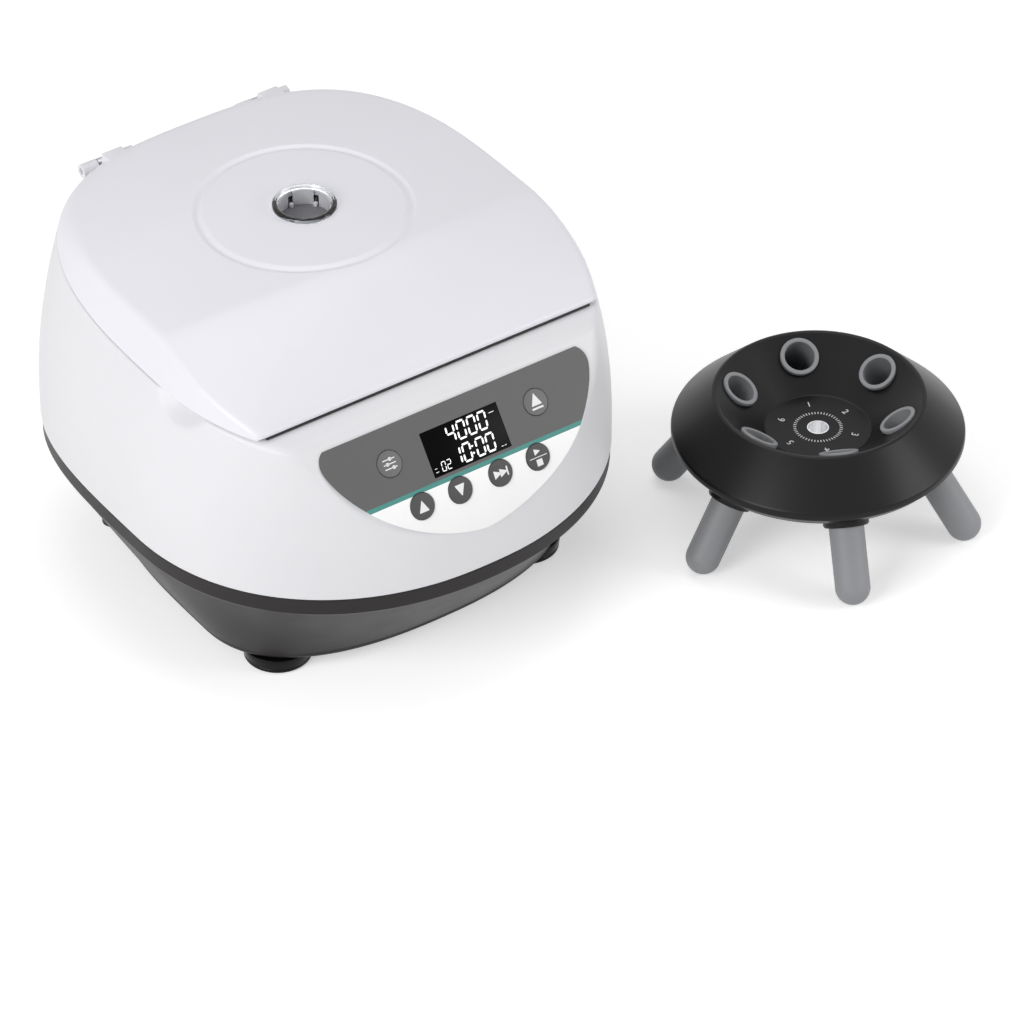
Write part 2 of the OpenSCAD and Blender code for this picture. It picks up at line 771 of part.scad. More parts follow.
// Mains coil, two smoothing cans and a finned heat sink
module power_parts() color(satin_black) {
    translate([0, supply_y, supply_z + board_t]) {
        translate([coil_x, -coil_d / 2, 0]) cube([coil_w, coil_d, coil_h]);
        for (k = [0, 1]) translate([can_x + k * can_pitch, 0, 0]) cylinder(r = can_r, h = can_h);
        for (k = [0 : 5]) translate([sink_x + k * fin_pitch, -sink_d / 2, 0])
            cube([fin_t, sink_d, sink_h]);
        translate([sink_x, -sink_d / 2, 0]) cube([sink_w, sink_d, sink_foot_t]);
    }
}

module lock_housing() color(zinc) {
    difference() {
        translate([lock_x, hook_y - lock_d / 2, bolt_z - lock_h / 2])
            cube([lock_w, lock_d, lock_h]);
        translate([lock_x - 1, hook_y, bolt_z]) rotate([0, 90, 0])
            cylinder(r = bolt_r + pin_clear, h = lock_w - 4);
    }
}

module lock_bolt() color(steel) {
    translate([hook_w / 2 + bolt_clear, hook_y, bolt_z]) rotate([0, 90, 0])
        cylinder(r = bolt_r, h = 24);
}

// Its lever ends just beside the hook
module lid_switch() color(satin_black) {
    translate([-lock_x, hook_y - lock_d / 2, bolt_z]) {
        translate([-switch_w, 0, -switch_h / 2]) cube([switch_w, switch_d, switch_h]);
        translate([-eps, 2, -1]) cube([lock_x - hook_w / 2 - 1, 2.5, 2]);
    }
}

module hinge_brackets() color(steel) {
    for (s = [-1, 1]) translate([s * hinge_x, 0, 0]) difference() {
        union() {
            translate([-hinge_w / 2, pad_face_y, plate_foot_z])
                cube([hinge_w, bracket_t, bracket_h - 4]);
            for (k = [-1, 1]) translate([k * (hinge_w - knuckle_w) / 2 - knuckle_w / 2, 0, 0]) {
                translate([0, pad_face_y, hinge_z - 12]) cube([knuckle_w, bracket_t, 12]);
                translate([0, hinge_y, hinge_z]) rotate([0, 90, 0])
                    cylinder(r = knuckle_r, h = knuckle_w);
            }
        }
        translate([-hinge_w, hinge_y, hinge_z]) rotate([0, 90, 0])
            cylinder(r = pin_r, h = 2 * hinge_w);
        for (k = [-1, 1]) translate([k * hinge_screw_x, pad_face_y - 1, hinge_screw_z])
            rotate([-90, 0, 0]) cylinder(r = thread_r + 0.1, h = 6);
    }
}

module hinge_pins() color(steel) {
    for (s = [-1, 1]) translate([s * hinge_x - hinge_w / 2, hinge_y, hinge_z])
        rotate([0, 90, 0]) cylinder(r = pin_r, h = hinge_w);
}

module panel_screw(length) {
    cylinder(r = thread_r, h = length);
    translate([0, 0, length]) cylinder(r = 2.8, h = 1.5);
}

module case_screws() color(zinc) {
    for (s = [-1, 1], k = [-1, 1])
        translate([s * hinge_x + k * hinge_screw_x, pad_face_y - screw_l, hinge_screw_z])
            rotate([-90, 0, 0]) panel_screw(screw_l + bracket_t);
    for (s = [-1, 1])
        translate([inlet_x + s * inlet_screw_x, inlet_face - inlet_screw_l, socket_z])
            rotate([-90, 0, 0]) panel_screw(inlet_screw_l + inlet_lip);
    for (x = [-column_x, column_x], y = column_ys) translate([x, y, well_top]) {
        cylinder(r = screw_r, h = boss_top - well_top - 3);
        translate([0, 0, -2.5]) cylinder(r = screw_r * 2, h = 2.5);
    }
}

// Lid: its top falls away to the front and to both sides
front_drop = lid_top_z - parting_z(lid_front_y) - 4.4;
side_drop = 10.5;
rear_drop = 8;
drop_y = -58;
drop_n = 1.6;
crown_run = 55;
crown_n = 2.3;
rear_y = 20;
crown_half = 120;
lid_rings = [0.12, 0.3, 0.5, 0.72];

function lid_top(x, y) =
    let (w = abs(x) / crown_half, start = drop_y + 15 * w * w,
        fall = max(0, start - y) / (start - lid_front_y),
        back = max(0, y - rear_y) / (rear_reach - rear_y))
    lid_top_z - front_drop * pow(fall, drop_n) - rear_drop * back * back
        - side_drop * sin(90 * min(1, max(0, y - lid_front_y) / crown_run)) * pow(w, crown_n);

// Plan corner where the straight front edge meets the side
corner_x = side_x(lid_front_y, parting_z(lid_front_y));
corner_t = atan2(lid_front_y - plan_y, corner_x);
front_steps = 9;
side_steps = 53;
lid_angles = concat(
    [for (k = [0 : front_steps - 1]) -180 - corner_t + k * (180 + 2 * corner_t) / front_steps],
    [for (k = [0 : side_steps - 1]) corner_t + k * (180 - 2 * corner_t) / side_steps]);

function lid_edge(t, z, inset) =
    let (r = body_radius(t, z, inset),
        limit = sin(t) < 0 ? (plan_y - lid_front_y - inset) / -sin(t) : r)
    let (q = min(r, limit)) [q * cos(t), plan_y + q * sin(t)];

function crease_z(t, inset, z, passes) = passes == 0 ? z :
    let (p = lid_edge(t, z, inset))
    crease_z(t, inset, (z + lid_top(p[0], p[1])) / 2, passes - 1);

function lid_under(x, y) =
    max(lid_top(x, y) - wall, parting_z(y) + lid_gap + 0.6);

function lid_foot_ring(inset) = [for (t = lid_angles)
    let (p = lid_edge(t, 184, inset), z = parting_z(p[1]) + lid_gap, q = lid_edge(t, z, inset))
    [q[0], q[1], parting_z(q[1]) + lid_gap]];

function lid_crease_ring(inset, under) = [for (t = lid_angles)
    let (z = crease_z(t, inset, 190, 9), p = lid_edge(t, z, inset))
    [p[0], p[1], under ? lid_under(p[0], p[1]) : lid_top(p[0], p[1])]];

function lid_inner_ring(crease, share, under) = [for (p = crease)
    let (x = p[0] * (1 - share), y = p[1] * (1 - share))
    [x, y, under ? lid_under(x, y) : lid_top(x, y)]];

// Closed cup through rings from the middle of the top, out, under the rim and back in
module cup(rings, top_point, under_point) {
    n = len(rings[0]);
    last = len(rings) - 1;
    count = n * len(rings);
    sides = [for (k = [0 : last - 1], i = [0 : n - 1], half = [0, 1])
        let (a = k * n + i, b = k * n + (i + 1) % n)
        half == 0 ? [a, b, a + n] : [b, b + n, a + n]];
    top_fan = [for (i = [0 : n - 1]) [count, (i + 1) % n, i]];
    under_fan = [for (i = [0 : n - 1]) [count + 1, last * n + i, last * n + (i + 1) % n]];
    polyhedron(points = concat([for (ring = rings) each ring], [top_point, under_point]),
        faces = concat(sides, top_fan, under_fan), convexity = 6);
}

liner_z = 176.5;
liner_t = 2.5;
liner_r = 101.5;
liner_wall = 2.5;
liner_wall_h = 10;
liner_boss_r = 88;
boss_r = 5;
bore_r = window_r - 3;
tube_t = 1.8;
hole_r = bore_r + tube_t + 0.1;
boss_angles = [30 : 60 : 330];

module lid_cup() {
    outer = lid_crease_ring(0, false);
    under = lid_crease_ring(wall, true);
    cup(concat([for (k = [len(lid_rings) - 1 : -1 : 0]) lid_inner_ring(outer, lid_rings[k], false)],
        [outer, lid_foot_ring(0), lid_foot_ring(wall), under],
        [for (share = lid_rings) lid_inner_ring(under, share, true)]),
        [0, 0, lid_top(0, 0)], [0, 0, lid_under(0, 0)]);
}

module lid_shell() color(white) {
    inner = lid_crease_ring(1, true);
    cap_rings = concat(
        [for (k = [len(lid_rings) - 1 : -1 : 0]) lid_inner_ring(inner, lid_rings[k], true)],
        [inner], [[for (p = inner) [p[0], p[1], parting_z(p[1]) + lid_gap]]],
        [[for (p = inner) [p[0] / 2, p[1] / 2, parting_z(lid_front_y) + lid_gap]]]);
    difference() {
        union() {
            lid_cup();
            intersection() {
                translate([0, 0, 0.4]) cup(cap_rings, [0, 0, lid_under(0, 0)],
                    [0, 0, parting_z(lid_front_y) + lid_gap - 0.5]);
                union() {
                    for (t = boss_angles) rotate([0, 0, t])
                        translate([liner_boss_r, 0, liner_z + liner_t])
                            cylinder(r = boss_r, h = 60);
                    translate([-13, hook_y - hook_t / 2, hook_foot_z])
                        cube([26, hook_plate_d, 40]);
                    for (s = [-1, 1])
                        translate([s * hinge_x - arm_w / 2, hinge_y - arm_reach - 1,
                            hinge_z + arm_t / 2]) cube([arm_w, arm_reach - 4, 30]);
                }
            }
        }
        cylinder(r = hole_r, h = 300);
        for (t = boss_angles) rotate([0, 0, t]) translate([liner_boss_r, 0, liner_z])
            cylinder(r = thread_r, h = 14);
        for (s = [-1, 1])
            translate([s * hinge_x - hinge_w / 2 - 0.6, pad_face_y - 2, hinge_z - knuckle_r - 1])
                cube([hinge_w + 1.2, 30, 2 * knuckle_r + 1.6]);
        for (s = [-1, 1]) {
            translate([s * hinge_x - arm_w / 2 - 0.3, hinge_y - arm_reach - 1, hinge_z - 8])
                cube([arm_w + 0.6, 40, 8 + arm_t / 2]);
            for (run = arm_screw_run)
                translate([s * hinge_x, hinge_y - arm_reach + run, hinge_z])
                    cylinder(r = thread_r, h = arm_t / 2 + screw_l);
        }
    }
}

module lid_liner() color(white) {
    difference() {
        union() {
            translate([0, 0, liner_z]) cylinder(r = liner_r, h = liner_t, $fn = 96);
            translate([0, 0, liner_z]) difference() {
                cylinder(r = liner_r, h = liner_wall_h, $fn = 96);
                translate([0, 0, -1])
                    cylinder(r = liner_r - liner_wall, h = liner_wall_h + 2, $fn = 96);
            }
        }
        translate([0, 0, liner_z - 1]) cylinder(r = bore_r, h = 20);
        for (t = boss_angles) rotate([0, 0, t]) translate([liner_boss_r, 0, liner_z - 1]) {
            cylinder(r = 1.7, h = 10);
            cylinder(r = 3.4, h = 2.2);
        }
    }
}

module lid_screws() color(zinc) {
    for (t = boss_angles) rotate([0, 0, t]) translate([liner_boss_r, 0, liner_z]) {
        cylinder(r = 3.2, h = 1.2);
        cylinder(r = thread_r, h = 12);
    }
    for (s = [-1, 1], run = arm_screw_run)
        translate([s * hinge_x, hinge_y - arm_reach + run, hinge_z - arm_t / 2]) {
            cylinder(r = 2.8, h = 1.5);
            cylinder(r = thread_r, h = arm_t + screw_l - 1);
        }
}

lens_drop = 10.5;
lens_z = lid_top_z - lens_drop;
ring_rise = 3;

// Clear cup with a raised ring on the lid and a flat lens low inside
module lid_window() color(clear) {
    seat = lid_top_z + 0.3;
    rotate_extrude() polygon([[0, lens_z], [bore_r + tube_t, lens_z], [bore_r + tube_t, seat],
        [window_r, seat], [window_r, seat + ring_rise - 1], [window_r - 0.8, seat + ring_rise],
        [bore_r + 0.6, seat + ring_rise], [bore_r, seat + ring_rise - 0.6], [bore_r, lens_z + 2],
        [0, lens_z + 2]]);
}

module sight_tube() color(white) {
    translate([0, 0, liner_z + liner_t]) difference() {
        cylinder(r = bore_r + tube_t, h = lens_z - liner_z - liner_t);
        translate([0, 0, -1]) cylinder(r = bore_r, h = 60);
    }
}

module lid_seal() color(rubber_black) {
    translate([0, 0, liner_z]) difference() {
        cylinder(r = liner_r + 2, h = 3, $fn = 96);
        translate([0, 0, -1]) cylinder(r = liner_r, h = 5, $fn = 96);
    }
}

module lid_hook() color(steel) {
    hook_low = bolt_z - bolt_r - 4;
    difference() {
        union() {
            translate([-hook_w / 2, hook_y - hook_t / 2, hook_low])
                cube([hook_w, hook_t, hook_foot_z - hook_low]);
            translate([-12, hook_y - hook_t / 2, hook_foot_z - hook_plate_t])
                cube([24, hook_plate_d, hook_plate_t]);
        }
        translate([hook_w / 2 - bolt_throw - 1, hook_y - hook_t, bolt_z - bolt_r - bolt_clear])
            cube([bolt_throw + 2, 2 * hook_t, 2 * (bolt_r + bolt_clear)]);
    }
}

module lid_arms() color(steel) {
    for (s = [-1, 1]) translate([s * hinge_x, 0, 0]) difference() {
        union() {
            translate([-arm_w / 2, hinge_y, hinge_z]) rotate([0, 90, 0])
                cylinder(r = knuckle_r - 0.2, h = arm_w);
            translate([-arm_w / 2, hinge_y - arm_reach, hinge_z - arm_t / 2])
                cube([arm_w, arm_reach, arm_t]);
        }
        translate([-arm_w, hinge_y, hinge_z]) rotate([0, 90, 0])
            cylinder(r = pin_r + pin_clear, h = 2 * arm_w);
        for (run = arm_screw_run)
            translate([0, hinge_y - arm_reach + run, hinge_z - arm_t / 2]) {
                cylinder(r = 3, h = 1.5);
                cylinder(r = thread_r + 0.1, h = arm_t + 1);
            }
    }
}

bumper_x = 84;
bumper_y = -108;
bumper_gap = 0.7;
bumper_r = 4;

module lid_bumpers() color(rubber_black) {
    foot_z = parting_z(bumper_y) + bumper_gap;
    top_z = lid_under(bumper_x + bumper_r, bumper_y - bumper_r) - 0.5;
    for (s = [-1, 1]) translate([s * bumper_x, bumper_y, foot_z])
        cylinder(r = bumper_r, h = top_z - foot_z);
}

module motor_shaft() color(steel) {
    translate([0, 0, can_floor_z - 1]) cylinder(r = shaft_r, h = seat_z - 6 - can_floor_z + 1);
}

module motor_armature() color(zinc) {
    translate([0, 0, can_floor_z + end_wall + 2]) difference() {
        cylinder(r = motor_r - can_wall - 4,
            h = motor_plate_z - can_floor_z - 2 * end_wall - 4);
        translate([0, 0, -1]) cylinder(r = shaft_r, h = 60);
    }
}

hub_low_z = 112;
spigot_h = 7.5;
stud_h = 14;

module drive_hub() color(steel) {
    difference() {
        rotate_extrude() polygon([[0, hub_low_z], [9, hub_low_z], [9, seat_z - 8],
            [16, seat_z - 3], [16, seat_z], [spigot_r, seat_z], [spigot_r, seat_z + spigot_h],
            [stud_r, seat_z + spigot_h], [stud_r, seat_z + spigot_h + stud_h - 1],
            [stud_r - 1, seat_z + spigot_h + stud_h], [0, seat_z + spigot_h + stud_h]]);
        translate([0, 0, hub_low_z - 1]) cylinder(r = shaft_r, h = seat_z - 6 - hub_low_z + 1);
    }
}

washer_t = 1.6;
nut_h = 9;

module nut_washer() color(steel) {
    translate([0, 0, seat_z + spigot_h]) difference() {
        cylinder(r = nut_r + 1, h = washer_t);
        translate([0, 0, -1]) cylinder(r = stud_r + pin_clear, h = washer_t + 2);
    }
}

module rotor_nut() color(satin_black) {
    translate([0, 0, seat_z + spigot_h + washer_t]) difference() {
        union() {
            cylinder(r = nut_r, h = nut_h - 2);
            translate([0, 0, nut_h - 2 - eps]) cylinder(r = nut_r - 2, h = 2);
            for (k = [0 : 5]) rotate([0, 0, k * 60])
                translate([nut_r - 0.5, 0, 0]) cylinder(r = 1.6, h = nut_h - 2);
        }
        translate([0, 0, -1]) cylinder(r = stud_r + pin_clear, h = nut_h + 2);
    }
}

// Rotor: its floor stands as high as the leaning sleeves need
sleeve_run = sleeve_l - sleeve_r;
rotor_floor_z = sleeve_r + sleeve_run * cos(sleeve_tilt) - mouth_h;
dish_low = -8;
dish_wall = 5;
collar_top = 2.5;
collar_step = 10;
collar_low = 26;
collar_out = 13;
lip_out = 1.2;
sleeve_start = 6.5;
rotor_bore_r = spigot_r + 0.1;

module at_rotor() {
    translate([rotor_x, rotor_y, rotor_floor_z]) children();
}

// Local frame of a sleeve: origin at its mouth, Z down along the sleeve
module at_sleeve(k) {
    at_rotor() rotate([0, 0, sleeve_start + 60 * k]) translate([mouth_r, 0, mouth_h])
        rotate([0, 180 - sleeve_tilt, 0]) children();
}

module rotor_dish() color(satin_black) {
    edge = 3;
    difference() {
        union() {
            at_rotor() rotate_extrude($fn = 96) polygon(concat(
                [[0, -floor_t], [0, 0], [floor_r, 0], [crest_r - 2, crest_h - 1],
                    [crest_r, crest_h], [crest_r + 2, crest_h - 1]],
                [for (a = [60 : -30 : -60]) [dish_r - edge + edge * cos(a), edge * sin(a)]],
                [[dish_r - 5, dish_low], [dish_r - 5 - dish_wall, dish_low],
                    [dish_r - 11, -2], [crest_r + 1, crest_h - dish_wall - 4],
                    [crest_r - 3, crest_h - dish_wall - 4], [floor_r + 3, -floor_t]]));
            intersection() {
                union() for (k = [0 : 5]) at_sleeve(k) {
                    translate([0, 0, collar_top]) cylinder(r = sleeve_r + lip_out + 0.3, h = 9);
                    translate([0, 0, collar_step]) cylinder(r = collar_out, h = collar_low);
                }
                at_rotor() translate([0, 0, dish_low - 8]) cylinder(r = dish_r, h = 60);
            }
        }
        for (k = [0 : 5]) at_sleeve(k) {
            translate([0, 0, -20]) cylinder(r = sleeve_r + pin_clear, h = 120);
            translate([0, 0, -20 + collar_top]) cylinder(r = sleeve_r + lip_out + 0.3, h = 20);
        }
        at_rotor() translate([0, 0, -20]) cylinder(r = rotor_bore_r, h = 40);
    }
}

cushion_t = 3;
cushion_r = 7;
bore_depth = sleeve_run - cushion_t - 1;

module sleeve(k) color(sleeve_grey) {
    arc = [for (a = [0 : 10 : 90]) [sleeve_r * cos(a), sleeve_run + sleeve_r * sin(a)]];
    at_sleeve(k) difference() {
        rotate_extrude() polygon(concat([[0, 0], [sleeve_r + lip_out, 0],
            [sleeve_r + lip_out, collar_top], [sleeve_r, collar_top]], arc));
        translate([0, 0, -1]) cylinder(r = sleeve_bore_r, h = bore_depth + 1);
        translate([0, 0, bore_depth - 1]) cylinder(r = cushion_r, h = cushion_t + 1);
    }
}

module tube_sleeve_1() { sleeve(1); }
module tube_sleeve_2() { sleeve(0); }
module tube_sleeve_3() { sleeve(5); }
module tube_sleeve_4() { sleeve(4); }
module tube_sleeve_5() { sleeve(3); }
module tube_sleeve_6() { sleeve(2); }

module sleeve_pads() color(rubber_black) {
    for (k = [0 : 5]) at_sleeve(k) translate([0, 0, bore_depth])
        cylinder(r = cushion_r, h = cushion_t);
}

base_tub();
base_feet();
foot_screws();
upper_housing();
rear_plate();
power_inlet();
inlet_pins();
switch_frame();
fuse_holder();
chamber_bowl();
chamber_gasket();
bowl_posts();
motor_plate();
motor_isolators();
motor_can();
shaft_bearings();
shaft_boot();
control_fascia();
display_lens();
display_module();
control_board();
key_board();
power_board();
power_parts();
lock_housing();
lid_switch();
hinge_brackets();
hinge_pins();
case_screws();
lid_shell();
lid_liner();
lid_window();
sight_tube();
lid_seal();
lid_hook();
lid_arms();
lid_bumpers();
lid_screws();
motor_shaft();
drive_hub();
motor_armature();
nut_washer();
rotor_nut();
key_set();
key_open();
key_up();
key_down();
key_pulse();
key_start();
rocker_switch();
lock_bolt();
rotor_dish();
tube_sleeve_1();
tube_sleeve_2();
tube_sleeve_3();
tube_sleeve_4();
tube_sleeve_5();
tube_sleeve_6();
sleeve_pads();
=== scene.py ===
"""Looks of the benchtop centrifuge and of its angle rotor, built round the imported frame.

Lengths in this script are millimetres; MM turns them into the metres that Blender uses.
"""

import math

import bmesh
import bpy
import numpy as np
from mathutils import Euler, Matrix, Vector


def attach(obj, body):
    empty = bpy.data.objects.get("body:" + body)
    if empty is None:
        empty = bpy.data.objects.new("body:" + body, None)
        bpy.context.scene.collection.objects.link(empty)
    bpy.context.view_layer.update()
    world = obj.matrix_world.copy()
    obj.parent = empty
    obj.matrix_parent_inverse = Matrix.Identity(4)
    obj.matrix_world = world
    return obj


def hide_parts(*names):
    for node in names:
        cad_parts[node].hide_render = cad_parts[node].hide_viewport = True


MM = 0.001
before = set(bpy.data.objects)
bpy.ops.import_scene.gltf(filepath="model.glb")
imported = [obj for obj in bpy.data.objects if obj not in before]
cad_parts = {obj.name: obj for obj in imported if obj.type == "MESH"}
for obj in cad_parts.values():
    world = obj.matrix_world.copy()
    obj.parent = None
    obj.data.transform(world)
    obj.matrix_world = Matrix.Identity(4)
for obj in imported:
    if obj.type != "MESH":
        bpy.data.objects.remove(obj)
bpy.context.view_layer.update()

# Body of the machine, as the solids have it
BODY_HALF = 145.0
PLAN_Y = -45.0
FRONT_REACH = 132.5
REAR_REACH = 169.0
FRONT_N = 2.15
REAR_N = 3.5
BULGE_Z = 95.0
SIDE_TAPER = 0.0019
REAR_TAPER = 0.0003
SEAM_Z = 80.0
WALL = 3.0
CAVITY_REAR = 110.5

# Directions round the spindle in which a contour is drawn
AROUND = 420

# Line between lid and housing, seen from the side
LID_FRONT_Y = -122.0
FRONT_LINE_Z = 176.6
PARTING_Y = (-200, LID_FRONT_Y, -95, -60, -25, 5, 30, 55, 80, 105, 140)
PARTING_Z = (173.4, FRONT_LINE_Z, 178.8, 181, 181.4, 182.2, 184, 186.4, 190, 193.8, 196)
LID_GAP = 0.8

# Panel and the roll under it
PANEL_Y, PANEL_Z, PANEL_TILT = -154.1, 150.8, math.radians(37)
ROLL_R = 64.0
ROLL_END = math.radians(6)
KEY_ROW_LEAN = math.radians(30)
SHELF_SLOPE = 0.14
DISPLAY_W, DISPLAY_H = 50.5, 25.7
FLAT_BELOW = DISPLAY_H / 2 + 3.2
FASCIA_T = 0.8
FASCIA_HALF, FASCIA_TOP, FASCIA_WIDE, FASCIA_LOW, FASCIA_N = 87.5, 170.6, 163.0, 106.2, 1.5
TEAL_TOP, TEAL_FOOT = 139.6, 137.6
KEY_R, KEY_CLEAR, KEY_PROUD = 7.4, 0.3, 0.6
KEY_TOP = FASCIA_T + KEY_PROUD
UPPER_KEY_X, UPPER_KEY_V = 48.0, 4.2
ROW_KEY_X = (-38.0, -13.2, 13.2, 38.0)

# Finger scoops and the openings of the housing
SCOOP_Y, SCOOP_R, SCOOP_RISE, SCOOP_OUT = -76.0, 36.0, 17.5, 24.0
SLOT_HALF, SLOT_Y = 9.0, (-118.5, -109.0)
RECESS_HALF, RECESS_Y, RECESS_Z = 63.2, 120.5, (87.8, 124.2)
INLET_X, INLET_Z = (-50.0, -22.0), (95.9, 116.1)
ROCKER_X, ROCKER_Z = (30.1, 49.9), (99.2, 112.8)
FUSE_X, FUSE_Y, FUSE_Z, FUSE_R = 9.0, 119.5, 106.0, 6.2
REAR_CUT_Y = (90.0, 119.0)
PAST_REAR = 150.0

# Lid
LID_TOP_Z = FRONT_LINE_Z + 39.9
FRONT_DROP = LID_TOP_Z - FRONT_LINE_Z - 4.4
SLOPE_START, SLOPE_BEND = -58.0, 15.0
REAR_DROP, CROWN_DROP = 8.0, 10.5
# Black strip under the lid's front edge: painted shade, a dark piece that stands for the shadowed gap
# between lid and housing
SHADE_STRIP_HALF, SHADE_STRIP_H = 106.0, 1.7
GROOVE_R, GROOVE_HALF, GROOVE_DEPTH = 59.0, 3.0, 1.1
HOLE_R = 16.9
HINGE_X, HINGE_Y, HINGE_Z = 52.0, 122.5, 197.5
HINGE_W, ARM_W, ARM_REACH, KNUCKLE_R = 34.0, 13.0, 24.0, 4.0
HOOK_PAD_LOW, HOOK_PAD_HIGH = (-13, -113.4, 184), (13, -104.6, 186.8)

# Sight glass and the tube under it
GLASS_BORE, GLASS_R, GLASS_LIP_R, GLASS_DEPTH = 15.0, 16.8, 18.0, 10.5
TUBE_FOOT = 179.0

# Chamber
COLLAR_R, COLLAR_WALL, COLLAR_FOOT = 105.0, 3.0, 172.7

# Base and feet
FOOT_PLAN_Y, BASE_HALF, BASE_FRONT, BASE_REAR = -62.3, 114.0, 68.8, 146.0
BASE_FRONT_N, BASE_REAR_N = 2.4, 3.4
FOOT_H, FOOT_R, REAR_FOOT_R, FOOT_X, FOOT_YS = 10.0, 20.0, 15.0, 84.0, (-92.0, 46.0)
BAND_Z, BAND_STEP, BASE_EDGE = 70.0, 1.0, 4.0
COLUMN_X, COLUMN_YS, COLUMN_R = 102.0, (-62.0, 50.0), 6.5

# Rotor
ROTOR = Vector((240.0, -158.5, 0))
SLEEVE_TILT = math.radians(33)
SLEEVE_START = math.radians(6.5)
MOUTH_R, MOUTH_H = 45.7, 17.0
SLEEVE_R, SLEEVE_BORE, SLEEVE_RUN = 10.0, 8.65, 77.0
ROTOR_FLOOR = SLEEVE_R + SLEEVE_RUN * math.cos(SLEEVE_TILT) - MOUTH_H
SLEEVE_PLACE = {1: 1, 2: 0, 3: 5, 4: 4, 5: 3, 6: 2}
SLEEVE_SHY = 0.05
FLANGE_R, FLANGE_T = 11.2, 2.5
BORE_R, SEAT_R = 10.05, 11.35
DISH_FOOT, DISH_RIM_R, HUB_BORE = -8.0, 83.5, 6.3
NUMBER_R, NUMBER_SIZE = 21.5, 6.0
TICK_R, TICK_COUNT = 13.2, 48

# Plain level of the light, and what the floor adds where it is looked at
WORLD_LEVEL = 0.38
FLOOR_LIFT = 0.44


# Shapes that follow a formula

def smooth_max(a, b, k):
    """Larger of two fields, with the corner between them rounded over k."""
    near = np.maximum(k - np.abs(a - b), 0) / k
    return np.maximum(a, b) + near * near * k / 4


def plan_radius(t, half, front, rear, front_n, rear_n):
    """Radius of a plan made of a front and a rear superellipse, in direction t."""
    n = np.where(np.sin(t) < 0, front_n, rear_n)
    reach = np.where(np.sin(t) < 0, front, rear)
    return ((np.abs(np.cos(t)) / half) ** n + (np.abs(np.sin(t)) / reach) ** n) ** (-1 / n)


def body_radius(t, z, inset=0.0):
    rise = np.maximum(z - BULGE_Z, 0) ** 2
    return plan_radius(t, BODY_HALF - SIDE_TAPER * rise - inset, FRONT_REACH - inset,
                       REAR_REACH - REAR_TAPER * rise - inset, FRONT_N, REAR_N)


def side_field(x, y, z):
    return np.hypot(x, y - PLAN_Y) - body_radius(np.arctan2(y - PLAN_Y, x), z)


fine_y = np.linspace(-200, 150, 701)
soft = np.convolve(np.pad(np.interp(fine_y, PARTING_Y, PARTING_Z), 16, "edge"), np.ones(33) / 33, "valid")


def parting_z(y):
    return np.interp(y, fine_y, soft)


panel_up = np.array((math.sin(PANEL_TILT), math.cos(PANEL_TILT)))
panel_out = np.array((-math.cos(PANEL_TILT), math.sin(PANEL_TILT)))
roll_centre = np.array((PANEL_Y, PANEL_Z)) - FLAT_BELOW * panel_up - ROLL_R * panel_out


def panel_field(y, z):
    """Below zero behind the sloping panel and the roll that its lower part bends round."""
    out, up = roll_centre[0] - y, z - roll_centre[1]
    lean = np.clip(np.arctan2(up, out), ROLL_END, PANEL_TILT)
    return out * np.cos(lean) + up * np.sin(lean) - ROLL_R


scoop_line = float(parting_z(SCOOP_Y))
scoop_x = BODY_HALF - SIDE_TAPER * (scoop_line - BULGE_Z) ** 2
scoop_x *= (1 - (abs(SCOOP_Y - PLAN_Y) / FRONT_REACH) ** FRONT_N) ** (1 / FRONT_N)


def housing_field(x, y, z):
    """Below zero inside the housing: side, panel, shelf, deck and both finger scoops."""
    shelf = (z - FRONT_LINE_Z - SHELF_SLOPE * (y - LID_FRONT_Y)) / math.hypot(1, SHELF_SLOPE)
    lip = 1 - np.sqrt(1 - np.clip(SEAM_Z + 1 - z, 0, 1) ** 2)
    shell = smooth_max(side_field(x, y, z) + lip, smooth_max(panel_field(y, z), shelf, 2.5), 4)
    shell = smooth_max(shell, z - parting_z(y), 1.2)
    away = np.sqrt((np.abs(x) - scoop_x - SCOOP_OUT) ** 2 + (y - SCOOP_Y) ** 2
                   + (z - scoop_line - SCOOP_RISE) ** 2)
    return smooth_max(shell, SCOOP_R - away, 1.5)


def lid_top(x, y):
    """Height of the lid's top: level middle, front slope, falling sides and rear, ring groove."""
    w = np.abs(x) / 120
    start = SLOPE_START + SLOPE_BEND * w * w
    fall = np.maximum(0, start - y) / (start - LID_FRONT_Y)
    back = np.maximum(0, y - 20) / 104
    crown = np.sin(np.pi / 2 * np.clip((y - LID_FRONT_Y) / 55, 0, 1))
    groove = np.clip(1 - ((np.hypot(x, y) - GROOVE_R) / GROOVE_HALF) ** 2, 0, 1) ** 1.5
    return (LID_TOP_Z - FRONT_DROP * fall ** 1.6 - REAR_DROP * back ** 2 - CROWN_DROP * crown * w ** 2.3
            - GROOVE_DEPTH * groove)


def lid_field(x, y, z):
    """Below zero inside the lid. Its top edge is rounder at the rear than in front."""
    rear = np.clip((y - 10) / 100, 0, 1)
    shell = smooth_max(side_field(x, y, z), z - lid_top(x, y), 3.2 + 8.5 * rear * rear * (3 - 2 * rear))
    return smooth_max(shell, LID_FRONT_Y - y, 1.6)


# Mesh tools

def add_object(name, mesh):
    piece = bpy.data.objects.new(name, mesh)
    bpy.context.scene.collection.objects.link(piece)
    return piece


def soften(mesh, angle=32):
    for face in mesh.polygons:
        face.use_smooth = True
    mesh.set_sharp_from_angle(angle=math.radians(angle))


